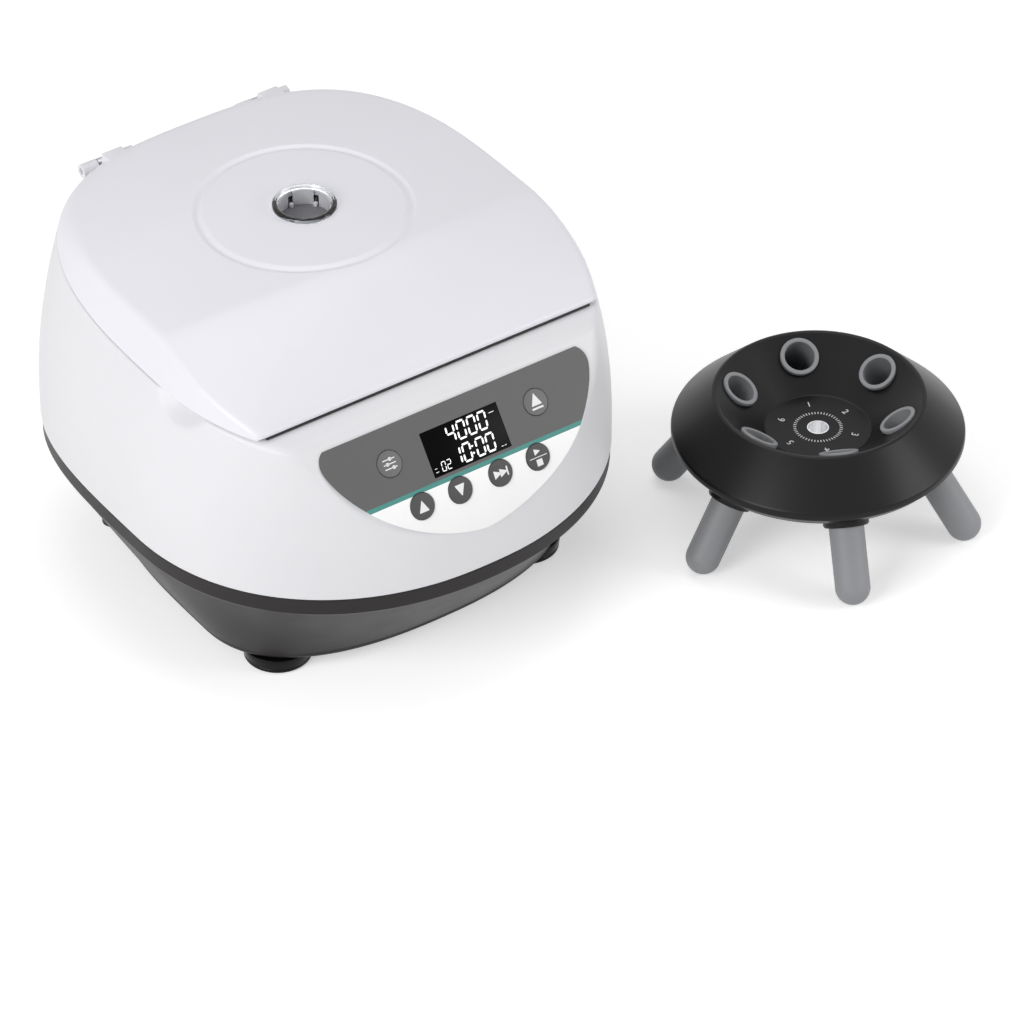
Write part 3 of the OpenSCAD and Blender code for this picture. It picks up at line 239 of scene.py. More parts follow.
def mesh_from(name, points, faces, angle=32):
    """Object with a closed, outward-facing mesh. Points are in millimetres."""
    mesh = bpy.data.meshes.new(name)
    mesh.from_pydata((np.asarray(points, float) * MM).tolist(), [], faces)
    tidy = bmesh.new()
    tidy.from_mesh(mesh)
    bmesh.ops.remove_doubles(tidy, verts=tidy.verts, dist=1e-6)
    bmesh.ops.recalc_face_normals(tidy, faces=tidy.faces)
    tidy.to_mesh(mesh)
    tidy.free()
    soften(mesh, angle)
    return add_object(name, mesh)


def grid_faces(rows, columns, closed_rows):
    """Quads of a grid whose columns run all the way round."""
    last = rows if closed_rows else rows - 1
    faces = []
    for i in range(last):
        a, b = i * columns, (i + 1) % rows * columns
        for j in range(columns):
            k = (j + 1) % columns
            faces.append((a + j, a + k, b + k, b + j))
    return faces


def rounded(corners, radius, steps=5, closed=False):
    """Polyline with its corners rounded. A corner may bring its own radius as a third number."""
    count = len(corners)
    line = []
    for i, corner in enumerate(corners):
        r = corner[2] if len(corner) > 2 else radius
        here = np.array(corner[:2], float)
        if r <= 0 or (not closed and i in (0, count - 1)):
            line.append(tuple(here))
            continue
        to_a = np.array(corners[i - 1][:2], float) - here
        to_b = np.array(corners[(i + 1) % count][:2], float) - here
        la, lb = np.hypot(*to_a), np.hypot(*to_b)
        ua, ub = to_a / la, to_b / lb
        turn = math.acos(max(-1, min(1, float(ua @ ub))))
        if turn > 3.1:
            line.append(tuple(here))
            continue
        run = min(r / math.tan(turn / 2), 0.45 * la, 0.45 * lb)
        for k in range(steps + 1):
            s = k / steps
            line.append(tuple((1 - s) ** 2 * (here + ua * run) + 2 * s * (1 - s) * here
                              + s * s * (here + ub * run)))
    return line


def lathe(name, outline, segments=128, place=Matrix.Identity(4), angle=32):
    """Closed outline of (radius, height) turned round the Z axis, then put in place."""
    outline = np.array(outline, float)
    turn = np.linspace(0, 2 * math.pi, segments, endpoint=False)
    rings = np.stack([np.outer(outline[:, 0], np.cos(turn)), np.outer(outline[:, 0], np.sin(turn)),
                      np.repeat(outline[:, 1:2], segments, 1)], -1).reshape(-1, 3)
    spin = np.array(place)
    rings = rings @ spin[:3, :3].T + spin[:3, 3]
    piece = mesh_from(name, rings, grid_faces(len(outline), segments, True), angle)
    clean = bmesh.new()
    clean.from_mesh(piece.data)
    bmesh.ops.dissolve_degenerate(clean, dist=1e-7, edges=clean.edges)
    bmesh.ops.delete(clean, geom=[v for v in clean.verts if not v.link_faces], context="VERTS")
    bmesh.ops.recalc_face_normals(clean, faces=clean.faces)
    clean.to_mesh(piece.data)
    clean.free()
    return piece


def block(name, low, high, bevel=0.0, steps=2, place=Matrix.Identity(4)):
    """Box between two corners with rounded edges."""
    low, high = Vector(low), Vector(high)
    shape = bmesh.new()
    bmesh.ops.create_cube(shape, size=1)
    for v in shape.verts:
        v.co = Vector([low[i] + (v.co[i] + 0.5) * (high[i] - low[i]) for i in range(3)])
    if bevel:
        bmesh.ops.bevel(shape, geom=list(shape.edges), offset=bevel, segments=steps,
                        profile=0.5, affect="EDGES")
    shape.transform(Matrix.Scale(MM, 4) @ place)
    bmesh.ops.recalc_face_normals(shape, faces=shape.faces)
    mesh = bpy.data.meshes.new(name)
    shape.to_mesh(mesh)
    shape.free()
    soften(mesh)
    return add_object(name, mesh)


def plate(name, outline, low, high, place=Matrix.Identity(4), angle=32):
    """Flat outline of (x, y) given a thickness from low to high, then put in place."""
    n = len(outline)
    points = [(x, y, low) for x, y in outline] + [(x, y, high) for x, y in outline]
    sides = [(i, (i + 1) % n, n + (i + 1) % n, n + i) for i in range(n)]
    spin = np.array(place)
    points = np.array(points) @ spin[:3, :3].T + spin[:3, 3]
    return mesh_from(name, points, [tuple(range(n - 1, -1, -1)), tuple(range(n, 2 * n)), *sides], angle)


def join(name, pieces):
    """One object from several, with their materials in order."""
    shape = bmesh.new()
    materials = []
    for piece in pieces:
        start = len(shape.faces)
        shape.from_mesh(piece.data)
        shape.faces.ensure_lookup_table()
        for k, material in enumerate(piece.data.materials):
            if material not in materials:
                materials.append(material)
            for face in shape.faces[start:]:
                if piece.data.polygons[face.index - start].material_index == k:
                    face.material_index = materials.index(material)
    mesh = bpy.data.meshes.new(name)
    shape.to_mesh(mesh)
    shape.free()
    for material in materials:
        mesh.materials.append(material)
    for piece in pieces:
        bpy.data.objects.remove(piece)
    return add_object(name, mesh)


def settle(piece, angle=None):
    """Applies all modifiers of a piece to its mesh."""
    graph = bpy.context.evaluated_depsgraph_get()
    made = bpy.data.meshes.new_from_object(piece.evaluated_get(graph))
    piece.modifiers.clear()
    piece.data = made
    if angle:
        soften(made, angle)
    return piece


def carve(piece, tool, operation="DIFFERENCE", angle=32):
    """Cuts a tool out of a piece, or joins or keeps what they share. The tool is used up."""
    change = piece.modifiers.new("carve", "BOOLEAN")
    change.object = tool
    change.operation = operation
    change.solver = "EXACT"
    settle(piece, angle)
    bpy.data.objects.remove(tool)
    return piece


def put(piece, body, slot, material, *stands_for):
    """Gives a finished piece its material and its body, and hides the nodes that it stands for. The slot is
    not used.
    """
    piece.data.materials.clear()
    piece.data.materials.append(material)
    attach(piece, body)
    if stands_for:
        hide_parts(*stands_for)
    return piece


# Contours: for each direction round the spindle, the line where a field is zero

def directions():
    return np.linspace(0, 2 * math.pi, AROUND, endpoint=False)


def crossing(field, turn, start_r, start_z, angle, reach=260.0, passes=21):
    """Distance from a start point to the surface, along rays in the plane of each turn."""
    near = np.zeros(np.broadcast(turn, angle).shape)
    far = np.full_like(near, reach)
    for _ in range(passes):
        middle = (near + far) / 2
        r = start_r + middle * np.cos(angle)
        inside = field(r * np.cos(turn), r * np.sin(turn), start_z + middle * np.sin(angle)) < 0
        near = np.where(inside, middle, near)
        far = np.where(inside, far, middle)
    return (near + far) / 2


def contour(field, turn, start, first, last, rows, bend):
    """Rows of (radius, height) from angle first to angle last, closer together on bends."""
    steps = 420
    angle = first[:, None] + (last - first)[:, None] * np.linspace(0, 1, steps)[None, :]
    away = crossing(field, turn[:, None], start[0], start[1], angle)
    r, z = start[0] + away * np.cos(angle), start[1] + away * np.sin(angle)
    made = np.zeros((len(turn), rows, 2))
    heading = np.unwrap(np.arctan2(np.diff(z, axis=1), np.diff(r, axis=1)), axis=1)
    length = np.hypot(np.diff(r, axis=1), np.diff(z, axis=1))
    turned = np.abs(np.diff(heading, axis=1, prepend=heading[:, :1]))
    weight = length + bend * np.minimum(turned, 0.3)
    kernel = np.hanning(13)
    kernel /= kernel.sum()
    for i in range(len(turn)):
        even = np.convolve(np.pad(weight[i], 6, "edge"), kernel, "valid")
        run = np.concatenate([[0], np.cumsum(even)])
        wanted = np.linspace(0, run[-1], rows)
        made[i, :, 0] = np.interp(wanted, run, r[i])
        made[i, :, 1] = np.interp(wanted, run, z[i])
    return made


def spun(name, rows, turn):
    """Closed mesh from rows of (radius, height) that differ for each direction."""
    r, z = rows[:, :, 0].T, rows[:, :, 1].T
    points = np.stack([r * np.cos(turn), r * np.sin(turn), z], -1).reshape(-1, 3)
    return mesh_from(name, points, grid_faces(rows.shape[1], len(turn), True))


def level_radius(field, turn, z, start_r):
    return start_r + crossing(field, turn, start_r, z, np.zeros_like(turn))


def as_rows(*columns):
    """Stacks pairs (radius, height) for each direction into rows."""
    level = np.zeros(AROUND)
    return np.stack([np.stack((r + level, z + level), -1) for r, z in columns], 1)


# Materials

class Recipe:
    """Small helper that adds and joins nodes of a material, a group or a geometry tree."""

    def __init__(self, tree):
        self.tree = tree
        self.tree.nodes.clear()

    def add(self, kind, inputs=None, **settings):
        node = self.tree.nodes.new(kind)
        for key, value in settings.items():
            setattr(node, key, value)
        for key, value in (inputs or {}).items():
            if isinstance(value, bpy.types.NodeSocket):
                self.tree.links.new(value, node.inputs[key])
            else:
                node.inputs[key].default_value = value
        return node

    def math(self, operation, a, b=0.0, c=0.0, clamp=False):
        return self.add("ShaderNodeMath", {0: a, 1: b, 2: c}, operation=operation,
                        use_clamp=clamp).outputs[0]

    def mix(self, share, a, b):
        return self.add("ShaderNodeMix", {0: share, 6: a, 7: b}, data_type="RGBA").outputs[2]

    def noise(self, vector, scale, detail=3.0, rough=0.55):
        return self.add("ShaderNodeTexNoise", {"Vector": vector, "Scale": scale, "Detail": detail,
                                               "Roughness": rough}).outputs[0]

    def span(self, value, a, b, c=0.0, d=1.0):
        return self.add("ShaderNodeMapRange", {0: value, 1: a, 2: b, 3: c, 4: d}).outputs[0]

    def group(self, tree, inputs):
        return self.add("ShaderNodeGroup", inputs, node_tree=tree).outputs


def new_group(name, inputs, outputs):
    """Shader node group with named inputs (name: default) and outputs (name: kind)."""
    tree = bpy.data.node_groups.new(name, "ShaderNodeTree")
    for key, value in inputs.items():
        if value == "VECTOR":
            tree.interface.new_socket(key, in_out="INPUT", socket_type="NodeSocketVector")
        elif isinstance(value, tuple):
            made = tree.interface.new_socket(key, in_out="INPUT", socket_type="NodeSocketColor")
            made.default_value = value
        else:
            made = tree.interface.new_socket(key, in_out="INPUT", socket_type="NodeSocketFloat")
            made.default_value = value
    for key, kind in outputs.items():
        tree.interface.new_socket(key, in_out="OUTPUT", socket_type="NodeSocket" + kind)
    recipe = Recipe(tree)
    start = recipe.add("NodeGroupInput")
    end = recipe.add("NodeGroupOutput")
    return tree, recipe, start.outputs, end.inputs


def moulded_grain():
    """Fine spark-eroded grain, a faint mottle and uneven gloss of a moulded plastic."""
    tree, r, given, wanted = new_group(
        "moulded_grain",
        {"Vector": "VECTOR", "Colour": (0.8, 0.8, 0.8, 1), "Tint": (0.7, 0.7, 0.7, 1), "Mottle": 0.2,
         "Roughness": 0.4, "Spread": 0.1, "Grain": 1800.0, "Depth": 0.1},
        {"Colour": "Color", "Roughness": "Float", "Normal": "Vector"})
    broad = r.noise(given["Vector"], 14.0, 4.0)
    fine = r.noise(given["Vector"], given["Grain"], 2.0, 0.6)
    patch = r.math("MULTIPLY", r.span(broad, 0.3, 0.75), given["Mottle"])
    r.tree.links.new(r.mix(patch, given["Colour"], given["Tint"]), wanted["Colour"])
    patchy = r.math("SUBTRACT", r.noise(given["Vector"], 45.0, 3.0), 0.5)
    drift = r.math("MULTIPLY", patchy, given["Spread"])
    r.tree.links.new(r.math("ADD", given["Roughness"], drift, clamp=True), wanted["Roughness"])
    bump = r.add("ShaderNodeBump", {"Strength": given["Depth"], "Distance": 0.0002, "Height": fine})
    r.tree.links.new(bump.outputs[0], wanted["Normal"])
    return tree


def turned_lines():
    """Rings left by turning or brushing round the Z axis."""
    tree, r, given, wanted = new_group(
        "turned_lines",
        {"Vector": "VECTOR", "Colour": (0.6, 0.6, 0.6, 1), "Tint": (0.4, 0.4, 0.4, 1), "Roughness": 0.3,
         "Spread": 0.2, "Pitch": 900.0, "Depth": 0.1},
        {"Colour": "Color", "Roughness": "Float", "Normal": "Vector"})
    split = r.add("ShaderNodeSeparateXYZ", {0: given["Vector"]}).outputs
    flat = r.add("ShaderNodeCombineXYZ", {0: split[0], 1: split[1], 2: 0.0}).outputs[0]
    away = r.add("ShaderNodeVectorMath", {0: flat}, operation="LENGTH").outputs["Value"]
    lines = r.add("ShaderNodeCombineXYZ", {0: away, 1: 0.0, 2: split[2]}).outputs[0]
    ring = r.noise(lines, given["Pitch"], 2.0, 0.7)
    smear = r.noise(given["Vector"], 40.0, 3.0)
    share = r.math("MULTIPLY", r.span(ring, 0.3, 0.7), 0.6)
    r.tree.links.new(r.mix(share, given["Colour"], given["Tint"]), wanted["Colour"])
    uneven = r.math("ADD", r.math("MULTIPLY", ring, 0.6), r.math("MULTIPLY", smear, 0.4))
    drift = r.math("MULTIPLY", r.math("SUBTRACT", uneven, 0.5), given["Spread"])
    r.tree.links.new(r.math("ADD", given["Roughness"], drift, clamp=True), wanted["Roughness"])
    bump = r.add("ShaderNodeBump", {"Strength": given["Depth"], "Distance": 0.00005, "Height": ring})
    r.tree.links.new(bump.outputs[0], wanted["Normal"])
    return tree


def handling_marks():
    """Thin scuffs and a little dust, as a mask."""
    tree, r, given, wanted = new_group(
        "handling_marks", {"Vector": "VECTOR", "Scuffs": 0.3, "Dust": 0.2}, {"Mask": "Float"})
    stretch = r.add("ShaderNodeMapping", {"Vector": given["Vector"], "Rotation": (0.2, 0.4, 0.9),
                                          "Scale": (1.0, 9.0, 3.0)}).outputs[0]
    scuff = r.span(r.noise(stretch, 160.0, 5.0, 0.7), 0.66, 0.74)
    dust = r.span(r.noise(given["Vector"], 700.0, 3.0, 0.7), 0.62, 0.78)
    scuffs = r.math("MULTIPLY", scuff, given["Scuffs"])
    specks = r.math("MULTIPLY", dust, given["Dust"])
    r.tree.links.new(r.math("ADD", scuffs, specks, clamp=True), wanted["Mask"])
    return tree


GRAIN = moulded_grain()
TURNED = turned_lines()
MARKS = handling_marks()


def srgb(*levels):
    """Linear colour from 0 to 255 levels as a picture has them."""
    out = [((v / 255 + 0.055) / 1.055) ** 2.4 if v > 10 else v / 255 / 12.92 for v in levels]
    return (*out, 1.0)


def start_material(name):
    material = bpy.data.materials.new(name)
    material.use_nodes = True
    r = Recipe(material.node_tree)
    end = r.add("ShaderNodeOutputMaterial")
    place = r.add("ShaderNodeTexCoord").outputs["Object"]
    return material, r, end, place


def shade(r, end, colour, roughness, normal, **settings):
    shader = r.add("ShaderNodeBsdfPrincipled", {"Base Color": colour, "Roughness": roughness})
    if normal is not None:
        r.tree.links.new(normal, shader.inputs["Normal"])
    for key, value in settings.items():
        spot = shader.inputs[key.replace("_", " ")]
        if isinstance(value, bpy.types.NodeSocket):
            r.tree.links.new(value, spot)
        else:
            spot.default_value = value
    r.tree.links.new(shader.outputs[0], end.inputs["Surface"])
    return shader


def grained(r, place, colour, tint, mottle, roughness, spread, grain, depth):
    """Colour, roughness and normal of the moulded grain."""
    return r.group(GRAIN, {"Vector": place, "Colour": colour, "Tint": tint, "Mottle": mottle,
                           "Roughness": roughness, "Spread": spread, "Grain": grain, "Depth": depth})


def marked(r, place, scuffs, dust):
    """Mask of the handling marks."""
    return r.group(MARKS, {"Vector": place, "Scuffs": scuffs, "Dust": dust})[0]


def plastic(name, colour, tint, roughness=0.4, spread=0.1, mottle=0.3, grain=1800.0, depth=0.12,
            scuffs=0.15, dust=0.1, mark=None, **settings):
    """Moulded plastic, painted or coated finish."""
    material, r, end, place = start_material(name)
    skin = grained(r, place, colour, tint, mottle, roughness, spread, grain, depth)
    worn = marked(r, place, scuffs, dust)
    paint = r.mix(worn, skin["Colour"], mark or tint)
    rough = r.math("ADD", skin["Roughness"], r.math("MULTIPLY", worn, 0.15), clamp=True)
    shade(r, end, paint, rough, skin["Normal"], **settings)
    return material


def metal(name, colour, tint, roughness=0.28, spread=0.2, pitch=900.0, depth=0.15):
    """Turned, brushed or plated metal."""
    material, r, end, place = start_material(name)
    turned = r.group(TURNED, {"Vector": place, "Colour": colour, "Tint": tint, "Roughness": roughness,
                              "Spread": spread, "Pitch": pitch, "Depth": depth})
    paint = r.mix(marked(r, place, 0.25, 0.05), turned["Colour"], tint)
    shade(r, end, paint, turned["Roughness"], turned["Normal"], Metallic=1.0)
    return material


def printed_film():
    """Panel film: grey above a teal line, white below it, over a faint orange peel."""
    material, r, end, place = start_material("panel_film")
    height = r.add("ShaderNodeSeparateXYZ", {0: place}).outputs[2]
    above = r.span(height, (TEAL_TOP - 0.05) * MM, (TEAL_TOP + 0.05) * MM)
    below = r.span(height, (TEAL_FOOT + 0.05) * MM, (TEAL_FOOT - 0.05) * MM)
    ink = r.mix(above, srgb(70, 143, 135), srgb(93, 93, 93))
    ink = r.mix(below, ink, srgb(255, 255, 255))
    skin = grained(r, place, ink, srgb(120, 120, 120), 0.03, 0.38, 0.08, 1400.0, 0.05)
    paint = r.mix(marked(r, place, 0.05, 0.05), skin["Colour"], srgb(200, 200, 200))
    shade(r, end, paint, skin["Roughness"], skin["Normal"], Specular_IOR_Level=0.3)
    return material


def clear_plastic(name, tint, roughness, clear=1.0):
    """Clear or smoked moulding."""
    material, r, end, place = start_material(name)
    skin = grained(r, place, tint, tint, 0.1, roughness, 0.04, 300.0, 0.03)
    worn = marked(r, place, 0.3, 0.1)
    rough = r.math("ADD", skin["Roughness"], r.math("MULTIPLY", worn, 0.1), clamp=True)
    shade(r, end, skin["Colour"], rough, skin["Normal"], Transmission_Weight=clear, IOR=1.46)
    return material


WHITE = plastic("housing_white", srgb(228, 228, 231), srgb(219, 219, 224), 0.42, mottle=0.25, grain=2200.0,
                depth=0.06, scuffs=0.05, dust=0.06)
LID_WHITE = plastic("lid_white", srgb(233, 232, 238), srgb(224, 223, 230), 0.36, mottle=0.25, grain=2200.0,
                    depth=0.05, scuffs=0.05, dust=0.06)
INNER_WHITE = plastic("inner_white", srgb(222, 222, 224), srgb(205, 205, 208), 0.5, grain=1500.0)
BASE_GREY = plastic("base_grey", srgb(42, 39, 40), srgb(36, 33, 34), 0.42, grain=1500.0, depth=0.15,
                    scuffs=0.08, dust=0.06, mark=srgb(66, 62, 64), Specular_IOR_Level=0.2)
RUBBER = plastic("rubber_black", srgb(24, 24, 24), srgb(34, 34, 34), 0.55, grain=1200.0, depth=0.3,
                 scuffs=0.2, dust=0.25, mark=srgb(62, 62, 62))
FOOT_BLACK = plastic("foot_black", srgb(12, 12, 13), srgb(18, 18, 19), 0.26, grain=1200.0, depth=0.1,
                     scuffs=0.05, dust=0.04, mark=srgb(30, 30, 30), Specular_IOR_Level=0.15)
FILM = printed_film()
LENS_BLACK = plastic("display_black", srgb(1, 1, 1), srgb(2, 2, 2), 0.3, 0.04, grain=900.0, depth=0.02,
                     scuffs=0.03, dust=0.03, mark=srgb(20, 20, 22), Specular_IOR_Level=0.06)
CLEAR = clear_plastic("clear_plastic", (0.93, 0.95, 0.96, 1), 0.05)
SMOKED = clear_plastic("smoked_plastic", srgb(158, 158, 164), 0.12, 0.45)
SATIN_GREY = plastic("satin_grey", srgb(196, 196, 200), srgb(184, 184, 190), 0.3, scuffs=0.1, dust=0.05)
BLACK = plastic("black_plastic", srgb(34, 34, 35), srgb(26, 26, 27), 0.42, grain=1500.0, depth=0.2,
                scuffs=0.15, dust=0.12, mark=srgb(70, 70, 70))
KEY_GREY = plastic("key_grey", srgb(98, 98, 98), srgb(91, 91, 91), 0.45, grain=1600.0, depth=0.08,
                   scuffs=0.08, dust=0.08, mark=srgb(130, 130, 130))
ROW_GREY = plastic("row_key_grey", srgb(77, 76, 77), srgb(70, 69, 70), 0.45, grain=1600.0, depth=0.08,
                   scuffs=0.08, dust=0.08, mark=srgb(110, 110, 110), Specular_IOR_Level=0.3)
ROTOR_BLACK = plastic("rotor_black", srgb(20, 20, 21), srgb(25, 25, 26), 0.33, 0.1, grain=1700.0,
                      depth=0.1, scuffs=0.06, dust=0.06, mark=srgb(46, 46, 48), Specular_IOR_Level=0.2)
SLEEVE = plastic("sleeve_grey", srgb(143, 144, 147), srgb(131, 132, 135), 0.5, 0.12, grain=1300.0,
                 depth=0.14, scuffs=0.25, dust=0.12, mark=srgb(182, 182, 184))
BOWL_STEEL = metal("bowl_steel", srgb(196, 197, 199), srgb(166, 167, 170), 0.3)
BRIGHT = metal("polished_steel", srgb(236, 237, 240), srgb(222, 223, 226), 0.12, 0.08, pitch=1600.0,
               depth=0.03)
SHAFT_STEEL = metal("shaft_steel", srgb(186, 187, 190), srgb(150, 151, 155), 0.24, pitch=1600.0)
ZINC = metal("zinc_steel", srgb(160, 163, 168), srgb(140, 142, 147), 0.42, pitch=300.0)
MOTOR = metal("motor_aluminium", srgb(150, 152, 156), srgb(120, 122, 126), 0.4, pitch=700.0)


def board_green():
    """Solder mask with copper tracks showing through and a few vias."""
    material, r, end, place = start_material("board_green")
    cells = r.add("ShaderNodeTexBrick", {
        "Vector": place, "Color1": srgb(22, 92, 52), "Color2": srgb(26, 104, 58),
        "Mortar": srgb(46, 128, 72), "Scale": 1.0, "Mortar Size": 0.0002, "Brick Width": 0.006,
        "Row Height": 0.0024}).outputs[0]
    vias = r.add("ShaderNodeTexVoronoi", {"Vector": place, "Scale": 260.0}).outputs["Distance"]
    paint = r.mix(r.span(vias, 0.16, 0.1), cells, srgb(180, 170, 120))
    skin = grained(r, place, paint, srgb(16, 70, 40), 0.3, 0.35, 0.1, 900.0, 0.1)
    shade(r, end, skin["Colour"], skin["Roughness"], skin["Normal"])
    return material


def glowing_ink():
    """White segments of the display, lit from behind."""
    material, r, end, place = start_material("display_ink")
    level = r.span(r.noise(place, 900.0, 2.0), 0.3, 0.7, 0.78, 0.92)
    paint = r.mix(level, srgb(210, 212, 214), srgb(250, 250, 250))
    shade(r, end, paint, 0.4, None, Emission_Color=paint, Emission_Strength=0.55)
    return material


BOARD = board_green()
INK = glowing_ink()
ICON = plastic("icon_white", srgb(240, 240, 240), srgb(226, 226, 226), 0.5, grain=2500.0, depth=0.05,
               scuffs=0.05, dust=0.05)
MARKING = plastic("marking_white", srgb(226, 226, 228), srgb(206, 206, 208), 0.5, grain=2500.0, depth=0.05)


# Geometry Nodes trees for what repeats

def repeat_tree(name, ring):
    """Copies of a small piece round a ring, or along a row, then made real with a material."""
    tree = bpy.data.node_groups.new(name, "GeometryNodeTree")
    tree.interface.new_socket("Geometry", in_out="INPUT", socket_type="NodeSocketGeometry")
    for key, kind in (("Piece", "Object"), ("Count", "Int"), ("Reach", "Float"), ("Start", "Vector"),
                      ("First turn", "Float"), ("Finish", "Material")):
        tree.interface.new_socket(key, in_out="INPUT", socket_type="NodeSocket" + kind)
    tree.interface.new_socket("Geometry", in_out="OUTPUT", socket_type="NodeSocketGeometry")
    r = Recipe(tree)
    given = r.add("NodeGroupInput").outputs
    piece = r.add("GeometryNodeObjectInfo", {"Object": given["Piece"]}).outputs["Geometry"]
    if ring:
        index = r.add("GeometryNodeInputIndex").outputs[0]
        step = r.math("DIVIDE", 2 * math.pi, given["Count"])
        turn = r.math("MULTIPLY_ADD", index, step, given["First turn"])
        way = r.add("ShaderNodeCombineXYZ", {0: r.math("COSINE", turn), 1: r.math("SINE", turn)}).outputs[0]
        away = r.add("ShaderNodeVectorMath", {0: way, "Scale": given["Reach"]}, operation="SCALE")
        spot = r.add("ShaderNodeVectorMath", {0: away.outputs[0], 1: given["Start"]}, operation="ADD")
        line = r.add("GeometryNodeMeshLine", {"Count": given["Count"]}).outputs["Mesh"]
        points = r.add("GeometryNodeSetPosition", {"Geometry": line, "Position": spot.outputs[0]}).outputs[0]
        upright = r.add("ShaderNodeCombineXYZ", {2: turn}).outputs[0]
        facing = r.add("FunctionNodeEulerToRotation", {0: upright}).outputs[0]
        onto = {"Points": points, "Instance": piece, "Rotation": facing}
    else:
        step = r.add("ShaderNodeCombineXYZ", {0: given["Reach"]}).outputs[0]
        points = r.add("GeometryNodeMeshLine", {"Count": given["Count"], "Start Location": given["Start"],
                                                "Offset": step}).outputs["Mesh"]
        onto = {"Points": points, "Instance": piece}
    copies = r.add("GeometryNodeInstanceOnPoints", onto).outputs[0]
    real = r.add("GeometryNodeRealizeInstances", {0: copies}).outputs[0]
    done = r.add("GeometryNodeSetMaterial", {"Geometry": real, "Material": given["Finish"]}).outputs[0]
    r.add("NodeGroupOutput", {"Geometry": done})
    return tree


RING = repeat_tree("ring_of_pieces", True)
ROW = repeat_tree("row_of_pieces", False)


def repeat(name, tree, piece, count, reach, start=(0, 0, 0), first=0.0, material=None):
    """Plain mesh object with copies of a piece. The piece is drawn round the origin and used up."""
    holder = add_object(name, bpy.data.meshes.new(name))
    step = holder.modifiers.new("repeat", "NODES")
    step.node_group = tree
    given = {"Piece": piece, "Count": count, "Reach": reach * MM, "Start": [v * MM for v in start],
             "First turn": first, "Finish": material}
    for item in tree.interface.items_tree:
        if item.item_type == "SOCKET" and item.in_out == "INPUT" and item.name in given:
            if given[item.name] is not None:
                step[item.identifier] = given[item.name]
    settle(holder, 32)
    bpy.data.objects.remove(piece)
    return holder


# Places

def on_panel():
    return Matrix.Translation((0, PANEL_Y, PANEL_Z)) @ Matrix.Rotation(math.pi / 2 - PANEL_TILT, 4, "X")


def on_roll(x=0.0):
    y = roll_centre[0] - ROLL_R * math.cos(KEY_ROW_LEAN)
    z = roll_centre[1] + ROLL_R * math.sin(KEY_ROW_LEAN)
    return Matrix.Translation((x, y, z)) @ Matrix.Rotation(math.pi / 2 - KEY_ROW_LEAN, 4, "X")


def key_places():
    """Places of the keys set, open, up, down, pulse and start, in that order."""
    upper = [on_panel() @ Matrix.Translation((x, UPPER_KEY_V, 0)) for x in (-UPPER_KEY_X, UPPER_KEY_X)]
    return upper + [on_roll(x) for x in ROW_KEY_X]


def at_rotor():
    return Matrix.Translation((ROTOR.x, ROTOR.y, ROTOR_FLOOR))


def at_sleeve(k):
    """Local frame of a sleeve: origin at its mouth, Z down along the sleeve."""
    return (at_rotor() @ Matrix.Rotation(SLEEVE_START + math.radians(60) * k, 4, "Z")
            @ Matrix.Translation((MOUTH_R, 0, MOUTH_H)) @ Matrix.Rotation(math.pi - SLEEVE_TILT, 4, "Y"))


def rod(name, r, low, high, place=Matrix.Identity(4), segments=96):
    return lathe(name, [(0, low), (r, low), (r, high), (0, high)], segments, place)


def panel_tools(spare=0.0):
    """Cutters for the display window, spare wider on each side, and for the six keys."""
    half_w, half_h = DISPLAY_W / 2 + spare, DISPLAY_H / 2 + spare
    window = block("display_tool", (-half_w, -half_h, -10), (half_w, half_h, 10), place=on_panel())
    return [window] + [rod("key_tool", KEY_R + KEY_CLEAR, -10, 10, place) for place in key_places()]


def hinge_tools(spare, front, low, high):
    """Cutters that make room for both hinges."""
    reach = HINGE_W / 2 + spare
    return [block("hinge_tool", (x - reach, front, low), (x + reach, PAST_REAR, high), 0.8)
            for x in (-HINGE_X, HINGE_X)]


# Housing

